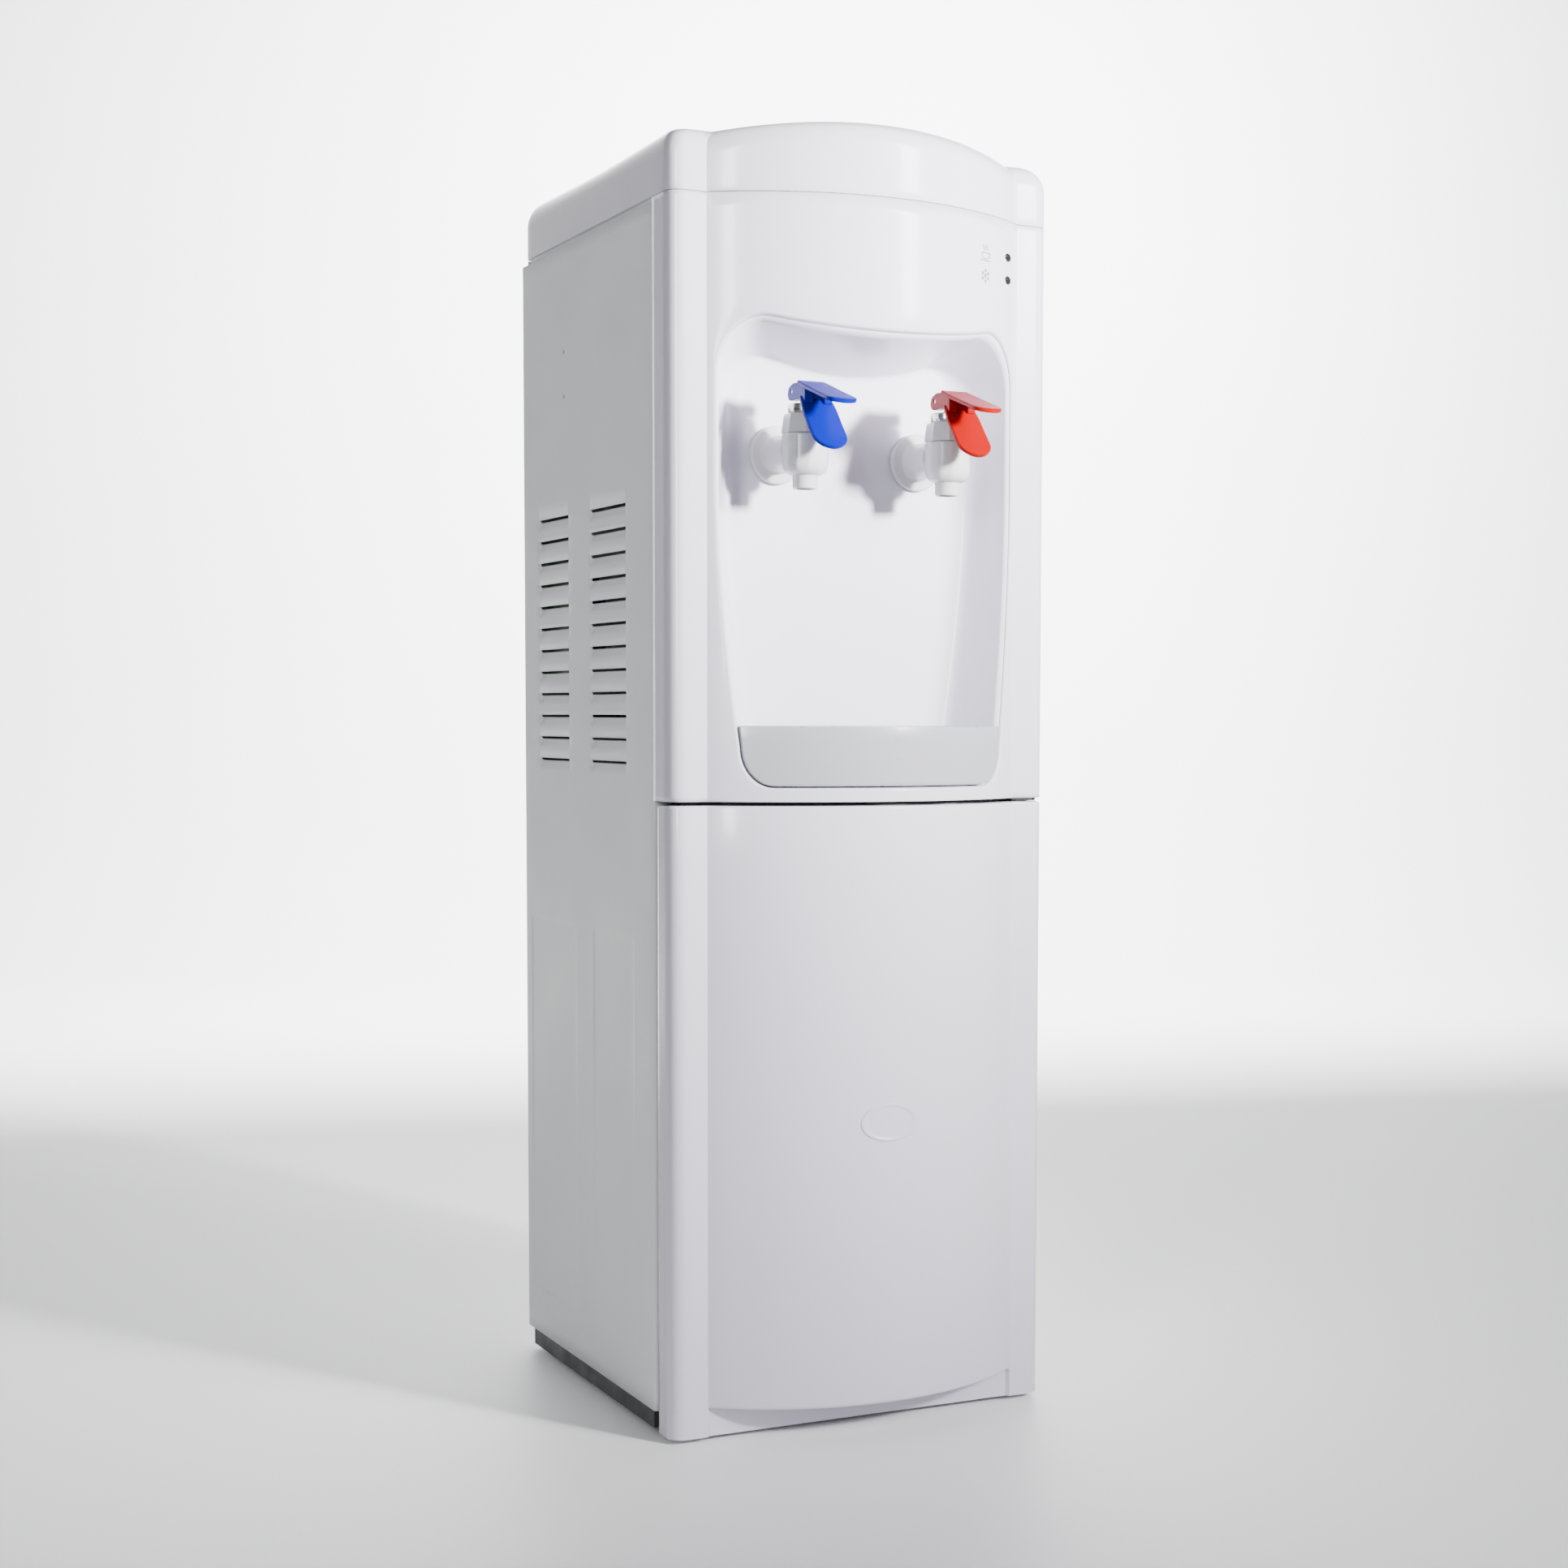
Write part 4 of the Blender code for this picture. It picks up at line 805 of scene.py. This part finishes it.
# One tap: its spout body, neck, bonnet and collar are each an outline of radius and height turned about
# an axis.
def makeTap(name, x):
    axis = (x, at(tap["depth"]), 0)
    wall = np.array([(6.5, 715), (6.5, 697), (7.0, 696.2), (8.2, 696.1), (8.8, 696.7), (9.0, 698),
                     (9.0, 704.2), (9.6, 705.6), (11.4, 706.2), (13.6, 707.2), (15.6, 709.4), (16.7, 712.4),
                     (17, 716), (17, 733.6), (16.8, 734.5), (16.3, 735), (13.4, 735), (13.3, 716.5)]) * mm
    share = np.where(wall[:, 0] > 13.5 * mm, 0.55, 0.0)
    spout = addLoops(name + "TapBody", [turnedRings(wall, axis, "Z", 96, share, 12)], finish["tap"])
    neck = softened([(0.2, -4), (13.2, -4), (13.2, 20), (13.8, 27.6), (20.6, 29.4), (21.5, 30.6),
                     (21.5, 34.6), (8, 34.7), (8, 61.9), (0.2, 62)], 1.6, 4) * mm
    neck = turnedRings(neck, (x, at(0), tap["neckZ"]), "Y", 80)
    neck = addShells(name + "TapNeck", [neck], finish["tap"], 34)
    for piece in (spout, neck):
        place(piece, "cabinet", "tap_white", name + "_tap_body")
    bonnet = np.array([(10.6, 735.4), (16.2, 735.3), (16.9, 735.6), (17.15, 736.3), (15.5, 748.2),
                       (15.1, 749.1), (14.2, 749.6), (3.5, 749.6), (3.5, 745.6), (10.6, 745.6)]) * mm
    share = np.where(bonnet[:, 0] > 12 * mm, 0.92, 0.0)
    place(addLoops(name + "TapBonnet", [turnedRings(bonnet, axis, "Z", 96, share, 8)], finish["tap"], 26),
          "cabinet", "tap_white", name + "_tap_bonnet")
    collar = np.array([(3.5, 749.9), (11.9, 749.9), (12.4, 750.1), (12.6, 750.7), (12.6, 755.4),
                       (12.35, 756.1), (11.8, 756.4), (3.5, 756.4)]) * mm
    place(addLoops(name + "TapCollar", [turnedRings(collar, axis, "Z", 80)], finish["chrome"], 34),
          "cabinet", "chrome", name + "_tap_collar")


# The levers: a thumb plate, a tongue that a cup pushes and two cam cheeks on the pin.
lever = {"plateRear": (-29, 772), "plateSlope": 18, "plateLength": 61.6, "plateHalf": 11.5,
         "tongueTop": (-36, 760.5), "tongueSlant": 40.3, "tongueLength": 50.2, "tongueHalf": 13.5,
         "thick": 3.2, "bore": 1.85, "cheeks": ((-11, -4.3), (4.3, 11)), "bridge": (-8, 8)}


# Rings of a flat bar along a straight path on its upper face; the end past roundFrom is a half ellipse.
def barRings(x, start, direction, up, length, halfWidth, roundFrom, startHalf, dish=0.0):
    tip = np.sin(np.linspace(0, math.pi / 2, 14)[1:])
    rows = []
    for t in (*np.linspace(0, roundFrom, 14), *(roundFrom + (1 - roundFrom) * tip)):
        past = max(0.0, (t - roundFrom) / (1 - roundFrom))
        wide = halfWidth * math.sqrt(max(1 - past ** 2.2, 0.004))
        wide = min(wide, startHalf + (halfWidth - startHalf) * min(1, t / 0.25))
        sink = dish * math.sin(math.pi * min(1, t)) + lever["thick"] / 2
        depth, z = np.array(start) + np.array(direction) * length * t - np.array(up) * sink
        rows.append(((x, at(depth * mm), z * mm), (1, 0, 0), (0, *up), wide * mm, 1.0))
    return roundedSlab(rows, lever["thick"] * mm, 1.1 * mm)


# An outline in depth and height carried along x and bevelled at both ends, with a round hole where one
# is asked for.
def cheekRings(x, outline, low, high, hole=None, bevel=0.6):
    outline = np.asarray(outline, float)
    turn = outline[:, 0] * np.roll(outline[:, 1], -1) - np.roll(outline[:, 0], -1) * outline[:, 1]
    normal = loopNormals(outline) * np.sign(turn.sum())
    inner = outline - normal * bevel
    rows = [(inner, low), (outline, low + bevel), (outline, high - bevel), (inner, high)]
    if hole:
        centre, radius = np.array(hole[0]), hole[1]
        a = np.arctan2(outline[:, 1] - centre[1], outline[:, 0] - centre[0])
        ring = centre + radius * np.stack([np.cos(a), np.sin(a)], -1)
        rows += [(ring, high), (ring, low)]
    return np.array([np.column_stack([np.full(len(loop), x + end * mm), at(loop[:, 0] * mm), loop[:, 1] * mm])
                     for loop, end in rows])


# One lever: two flat bars at their slopes, a bridge between them, and two cheeks with a bore for the pin.
def makeLever(name, x, colour):
    c = lever
    slope, slant = math.radians(c["plateSlope"]), math.radians(c["tongueSlant"])
    plate = barRings(x, c["plateRear"], (-math.cos(slope), -math.sin(slope)),
                     (-math.sin(slope), math.cos(slope)), c["plateLength"], c["plateHalf"], 0.84, 11.0, 0.35)
    tongue = barRings(x, c["tongueTop"], (-math.sin(slant), -math.cos(slant)),
                      (-math.cos(slant), math.sin(slant)), c["tongueLength"], c["tongueHalf"], 0.74,
                      12.0, 0.3)
    cheek = roundedLoop([(-29, 770.5), (-42, 766.5), (-42, 754), (-36, 757), (-27, 759), (-14, 758.8),
                         (-11, 763), (-13, 768.5), (-20, 771)], 2.2)
    hole = ((tap["depth"] / mm, tap["pinZ"] / mm), c["bore"])
    bridge = roundedLoop([(-41, 758), (-34, 758), (-34, 767.5), (-41, 767.5)], 1.0)
    bars = [plate, tongue, cheekRings(x, bridge, *c["bridge"])]
    cheeks = [cheekRings(x, cheek, *ends, hole) for ends in c["cheeks"]]
    bars = addShells(name + "LeverBars", bars, finish[colour], 38)
    cheeks = addLoops(name + "LeverCheeks", cheeks, finish[colour], 38)
    for piece in (bars, cheeks):
        place(piece, name + "_lever", "lever_" + colour, name + "_lever")


spring = {"radius": 7.4 * mm, "wire": 0.65 * mm, "low": 723.3 * mm, "high": 744.3 * mm, "turns": 5.5,
          "keep": 0.81}


# The return spring: a helix whose first and last turns lie closer, swept by a round wire.
def makeSpring(name, x):
    c = spring
    t = np.linspace(0, 1, 200)
    rise = (t - 0.11 * np.sin(t * math.tau)) * (c["high"] - c["low"]) + c["low"]
    a = t * c["turns"] * math.tau
    out = np.stack([np.cos(a), np.sin(a), np.zeros_like(a)], -1)
    path = np.stack([x + c["radius"] * out[:, 0], at(tap["depth"]) + c["radius"] * out[:, 1], rise], -1)
    run = np.gradient(path, axis=0)
    run /= np.linalg.norm(run, axis=1, keepdims=True)
    up = np.cross(run, out)
    b = np.linspace(0, math.tau, 12, endpoint=False)
    round2d = np.cos(b)[None, :, None] * out[:, None] + np.sin(b)[None, :, None] * up[:, None]
    rings = path[:, None] + c["wire"] * round2d
    piece = addShells(name + "Spring", [rings], finish["wire"], 50)
    place(piece, "cabinet", "spring_steel", name + "_spring")
    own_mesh(piece)


for sideName, sign, colour in (("cold", -1, "blue"), ("hot", 1, "red")):
    makeSpring(sideName, sign * tap["x"])
    makeTap(sideName, sign * tap["x"])
    makeLever(sideName, sign * tap["x"], colour)
print("taps made")


# A flat stroke laid on the bow through points of arc length and height, standing a little proud of it.
def strokeRings(points, width, proud):
    points = np.asarray(points, float)
    run = np.gradient(points, axis=0)
    run /= np.linalg.norm(run, axis=1, keepdims=True)
    rows = []
    for (u, z), (du, dz) in zip(points, run):
        a = u / bowRadius
        tangent, normal = np.array([math.cos(a), math.sin(a), 0]), np.array([math.sin(a), -math.cos(a), 0])
        across = -dz * tangent + du * np.array([0, 0, 1])
        centre = onBow(np.array(u), np.array(z), 0.0) + normal * (proud - 0.15 * mm)
        rows.append((centre, across, normal, width / 2, 1.0))
    return roundedSlab(rows, 0.3 * mm, 0.09 * mm, 3)


# Points of an elliptical arc between two angles.
def arcPoints(u, z, radiusU, radiusZ, start, end, steps=14):
    a = np.radians(np.linspace(start, end, steps))
    return np.stack([u + radiusU * np.cos(a), z + radiusZ * np.sin(a)], -1)


marks = {"place": 88.5 * mm, "cupZ": 875.6 * mm, "flakeZ": 858.8 * mm, "width": 0.75 * mm,
         "proud": 0.1 * mm, "flake": 5 * mm, "size": 1.15}


# The signs beside the lamps: a steaming cup, and a snowflake with forked arms.
def makeMarks():
    c = marks
    cup = [np.array([(-3.6, 0), (-3.2, -2), (-2.2, -3.8), (2.2, -3.8), (3.2, -2), (3.6, 0), (-3.6, 0)]) * mm,
           np.array([(-5.4, -4.9), (5.4, -4.9)]) * mm,
           arcPoints(3.7 * mm, -1.5 * mm, 1.7 * mm, 1.5 * mm, 80, -95, 9)]
    rise = np.linspace(0, 1, 9)
    for steam in (-2, 0, 2):
        cup.append(np.stack([steam + 0.5 * np.sin(rise * math.tau), 1.3 + 3.6 * rise], -1) * mm)
    flake = []
    for k in range(6):
        a = math.pi / 2 + math.tau * k / 6
        arm = np.array([math.cos(a), math.sin(a)]) * c["flake"]
        if k < 3:
            flake.append(np.array([-arm, arm]))
        for turn in (-0.85, 0.85):
            twig = np.array([math.cos(a + turn), math.sin(a + turn)]) * c["flake"] * 0.36
            flake.append(np.array([arm * 0.52, arm * 0.52 + twig]))
    paths = [path * c["size"] + (c["place"], c["cupZ"]) for path in cup]
    paths += [path * c["size"] + (c["place"], c["flakeZ"]) for path in flake]
    strokes = [strokeRings(path, c["width"], c["proud"]) for path in paths]
    place(addShells("pictograms", strokes, finish["print"], 40), "cabinet", "lamp_lens")


lamps = {"x": 113.5 * mm, "heights": (876.8 * mm, 859.9 * mm), "wide": 4.4 * mm, "high": 3.3 * mm,
         "proud": 1.5 * mm, "sunk": 1.2 * mm}


# Each lamp is a low dark dome on the bow.
def makeLamps():
    c = lamps
    u = bowRadius * math.asin(c["x"] / bowRadius)
    a = np.linspace(0, math.tau, 40, endpoint=False)
    across, up = c["wide"] * np.cos(a), c["high"] * np.sin(a)
    for name, z in zip(("hot", "cold"), c["heights"]):
        rings = [onBow(u + s * across, z + s * up, -c["proud"] * math.sqrt(1 - s * s))
                 for s in np.linspace(0.04, 1, 9)]
        rings.append(onBow(u + across, z + up, c["sunk"]))
        place(addShells(name + "Lamp", [np.array(rings)], finish["lamp"], 50), "cabinet", "lamp_lens",
              name + "_indicator_lens")


badge = {"z": 235 * mm, "wide": 24 * mm, "high": 14.5 * mm, "dish": 0.25 * mm, "rim": 0.8 * mm}


# The badge is a blank oval on the bow: a shallow dish inside a rounded rim.
def makeBadge():
    c = badge
    share = np.concatenate([np.linspace(0.02, 0.8, 8), np.linspace(0.8, 1, 12)[1:]])
    rimAt = np.clip((share - 0.8) / 0.2, 0, 1)
    height = c["dish"] + (c["rim"] - c["dish"]) * np.sin(rimAt * math.pi) ** 0.8 * (rimAt < 1)
    height[-1] = -0.6 * mm
    height[-2] = 0.12 * mm
    a = np.linspace(0, math.tau, 96, endpoint=False)
    across, up = c["wide"] * np.cos(a), c["high"] * np.sin(a)
    rings = [onBow(s * across, c["z"] + s * up, -h) for s, h in zip(share, height)]
    place(addShells("blankBadge", [np.array(rings)], finish["shell"], 50), "door", "shell", "door_badge")


seat = {"depth": 170 * mm, "round": 1.4}


# The funnel that the bottle stands on: a flange, a cone and the hollow probe in one turned outline.
def makeSeat():
    outline = [(0.1, 931), (9, 930), (13, 926), (14, 920), (14, 892), (40.5, 892), (55, 912.3), (57, 915.3),
               (74, 915.3), (74, 912.3), (60, 912.3), (57, 909), (43, 889), (11, 889), (11, 924),
               (8, 927.5), (0.1, 928)]
    rings = turnedRings(softened(outline, seat["round"], 4) * mm, (0, at(seat["depth"]), 0), "Z", 112)
    place(addShells("bottleSeat", [rings], finish["liner"], 40), "bottle_seat", "liner_white", "bottle_seat")


tray = {
    "top": 525.6 * mm, "ledge": 521.3 * mm, "gap": 1 * mm, "corner": 1.8 * mm, "roll": 1.6 * mm,
    "middle": -8 * mm, "floor": 6 * mm, "basin": (-6 * mm, 6 * mm, 28 * mm), "skirt": (-1 * mm, 32.5 * mm),
}

# The rim from the basin's edge over the ledge to the skirt, each level in millimetres: height over the
# ledge or under the top, growth of the sides, how far in from the bow, and depth of the back.
trayLedge = [(0, -5.6, 5.6, 28.4), (0, -3.8, 3.8, 29.8), (0.4, -3.5, 3.5, 30)]
trayRim = [(-0.6, -3.5, 3.5, 30), (-0.15, -3.3, 3.3, 30.2), (0, -2.8, 2.6, 30.7), (0, -1.7, 0.9, 31.8),
           (-0.25, -1.2, 0.25, 32.3), (-0.9, -1, 0, 32.5)]


# The tray's plan outline at a height: the bow set in, two slanting sides from the alcove's own width, and a
# straight back, with its four corners rounded. The corner on the bow is found in a few rounds.
def trayLoop(z, grow, inset, backDepth):
    c = alcove
    low = c["floor"] - grow + c["footRadius"]

    def wide(depth):
        reach = widestAt(depth) + grow - drawnIn(max(z, low))
        if z < low:
            reach += math.sqrt(max(c["footRadius"] ** 2 - (low - z) ** 2, 0)) - c["footRadius"]
        return reach

    depth = -30 * mm
    for _ in range(12):
        corner = wide(depth)
        depth = bowCentre - math.sqrt((bowRadius - inset) ** 2 - corner ** 2)
    x = np.linspace(-corner, corner, 31)
    bow = np.stack([x, bowCentre - np.sqrt((bowRadius - inset) ** 2 - x ** 2)], -1)
    back = wide(backDepth)
    loop = roundedLoop(np.concatenate([bow, [[back, backDepth], [-back, backDepth]]]), tray["corner"], 5)
    return np.column_stack([loop[:, 0], at(loop[:, 1]), np.full(len(loop), z)])


# The tray. Its outline goes up inside the basin, over the rim and down the skirt, each by a quarter circle
# at the foot, and both ends shrink to a small cap.
def makeTray():
    c, r = tray, alcove["footRadius"]

    def shrunk(ring):
        middle = np.array([0, at(c["middle"]), ring[0, 2]])
        return middle + (ring - middle) * (0.04, 0.04, 1)

    floor = alcove["floor"] + c["floor"]
    rows = [shrunk(trayLoop(floor, *c["basin"]))]
    for a in np.linspace(-math.pi / 2, 0, 9):
        rows.append(trayLoop(floor + r + r * math.sin(a), *c["basin"]))
    rows.append(trayLoop(c["ledge"] - 0.5 * mm, *c["basin"]))
    for height, steps in ((c["ledge"], trayLedge), (c["top"], trayRim)):
        for rise, grow, inset, backDepth in steps:
            rows.append(trayLoop(height + rise * mm, grow * mm, inset * mm, backDepth * mm))
    outside = alcove["floor"] + c["gap"]
    grow, backDepth = c["skirt"]
    rows.append(trayLoop(outside + r + 5 * mm, grow, 0, backDepth))
    for a in np.linspace(0, -math.pi / 2, 15):
        z = outside + r + r * math.sin(a)
        under = max(0.0, 1 - (z - outside) / c["roll"])
        rows.append(trayLoop(z, grow, c["roll"] * (1 - math.sqrt(1 - under ** 2)), backDepth))
    rows.append(shrunk(rows[-1]))
    piece = addShells("dripTray", [np.array(rows)], finish["tray"], 34)
    place(piece, "drip_tray", "tray_silver", "drip_tray")


# The dark screw heads in the dimples of both side panels.
def makeScrews():
    head = [(0.1, 0.5), (0.9, 0.45), (1.4, 0.25), (1.6, 0.05), (1.6, -0.2), (0.1, -0.2)]
    stacks = []
    for sign in (-1, 1):
        for depth, z in side["screws"]:
            profile = np.array(head) * mm * (1, sign)
            stacks.append(turnedRings(profile, (sign * (half - 1.0 * mm), at(depth), z), "X", 28))
    place(addShells("sideScrews", stacks, finish["dark"], 30), "cabinet", "dark_plastic")


makeMarks()
makeLamps()
makeBadge()
makeSeat()
makeTray()
makeScrews()
print("small pieces made")


# The stage: a pale floor that curves up behind, five soft lights and the camera.
stage = {"halfWidth": 6.4, "near": -4.5, "backDistance": 3.0, "sweep": 1.2, "wallHeight": 4.0, "turn": -26.7}


# The floor, a grid along x of a profile with a quarter circle between floor and wall, turned to the camera.
def makeStage():
    c = stage
    a = np.linspace(0, math.pi / 2, 24)
    sweep = np.stack([c["backDistance"] + c["sweep"] * np.sin(a), c["sweep"] * (1 - np.cos(a))], -1)
    wallY = c["backDistance"] + c["sweep"]
    profile = np.concatenate([[[c["near"], 0]], sweep, [[wallY, c["wallHeight"]]]])
    grid = np.array([[(x, y, z) for x in (-c["halfWidth"], 0, c["halfWidth"])] for y, z in profile])
    turn = math.radians(c["turn"])
    spin = np.array([[math.cos(turn), -math.sin(turn), 0], [math.sin(turn), math.cos(turn), 0], [0, 0, 1]])
    made, tree, shader = newMaterial("paleFloor")
    patches = spread(tree, noiseOn(tree, 3, 4.0), 0, 1)
    tree.links.new(tinted(tree, patches, (0.90, 0.905, 0.915), (0.925, 0.925, 0.93)),
                   shader.inputs["Base Color"])
    shader.inputs["Roughness"].default_value = 0.5
    floor = addMesh("floor", (grid @ spin.T).reshape(-1, 3), gridFaces(len(profile), 3), made, 60)
    if sum(face.normal.z for face in floor.data.polygons) < 0:
        floor.data.flip_normals()


# A rectangle of light, size by tall, facing the target. The key light leaves no highlight of its own.
def softLight(name, spot, target, size, power, tall=None, tint=(1, 1, 1), spreadAngle=180):
    data = bpy.data.lights.new(name, "AREA")
    data.shape = "RECTANGLE"
    data.size = size
    data.size_y = tall or size
    data.energy = power
    data.color = tint
    data.spread = math.radians(spreadAngle)
    lamp = bpy.data.objects.new(name, data)
    bpy.context.scene.collection.objects.link(lamp)
    lamp.location = spot
    lamp.rotation_euler = (Vector(target) - Vector(spot)).to_track_quat("-Z", "Y").to_euler()
    lamp.visible_glossy = name != "keyLight"


makeStage()
softLight("keyLight", (0.84, -1.74, 1.02), (0.02, -0.1, 0.9), 0.16, 25, 0.2, (1, 0.985, 0.985), 60)
softLight("stripLight", (1.5, -2.3, 1.8), (0.05, -0.1, 0.9), 0.4, 8, 1.3, spreadAngle=60)
softLight("sideStrip", (-2.2, -2.3, 1.5), (-0.1, 0, 0.8), 0.3, 19, 1.8, (0.97, 0.985, 1), 110)
softLight("topLight", (0.1, -0.1, 2.7), (0, 0, 0.7), 1.5, 12, 1.5)
softLight("backLight", (0.9, 1.9, 2.0), (1.6, 4.6, 0.9), 2.8, 520, 2.2)
world = bpy.data.worlds.new("studio")
world.use_nodes = True
world.node_tree.nodes["Background"].inputs["Color"].default_value = (0.93, 0.945, 1, 1)
world.node_tree.nodes["Background"].inputs["Strength"].default_value = 0.12
bpy.context.scene.world = world

view = bpy.data.cameras.new("camera")
view.lens = 56.57
view.sensor_width = 36
view.shift_x = -0.069
view.shift_y = 0.062
view.clip_start = 0.05
camera = bpy.data.objects.new("camera", view)
bpy.context.scene.collection.objects.link(camera)
camera.location = (-0.8076, at(-1.6480), 0.5329)
camera.rotation_euler = [math.radians(v) for v in (86.17, -0.21, -26.73)]
bpy.context.scene.camera = camera
print("stage made")
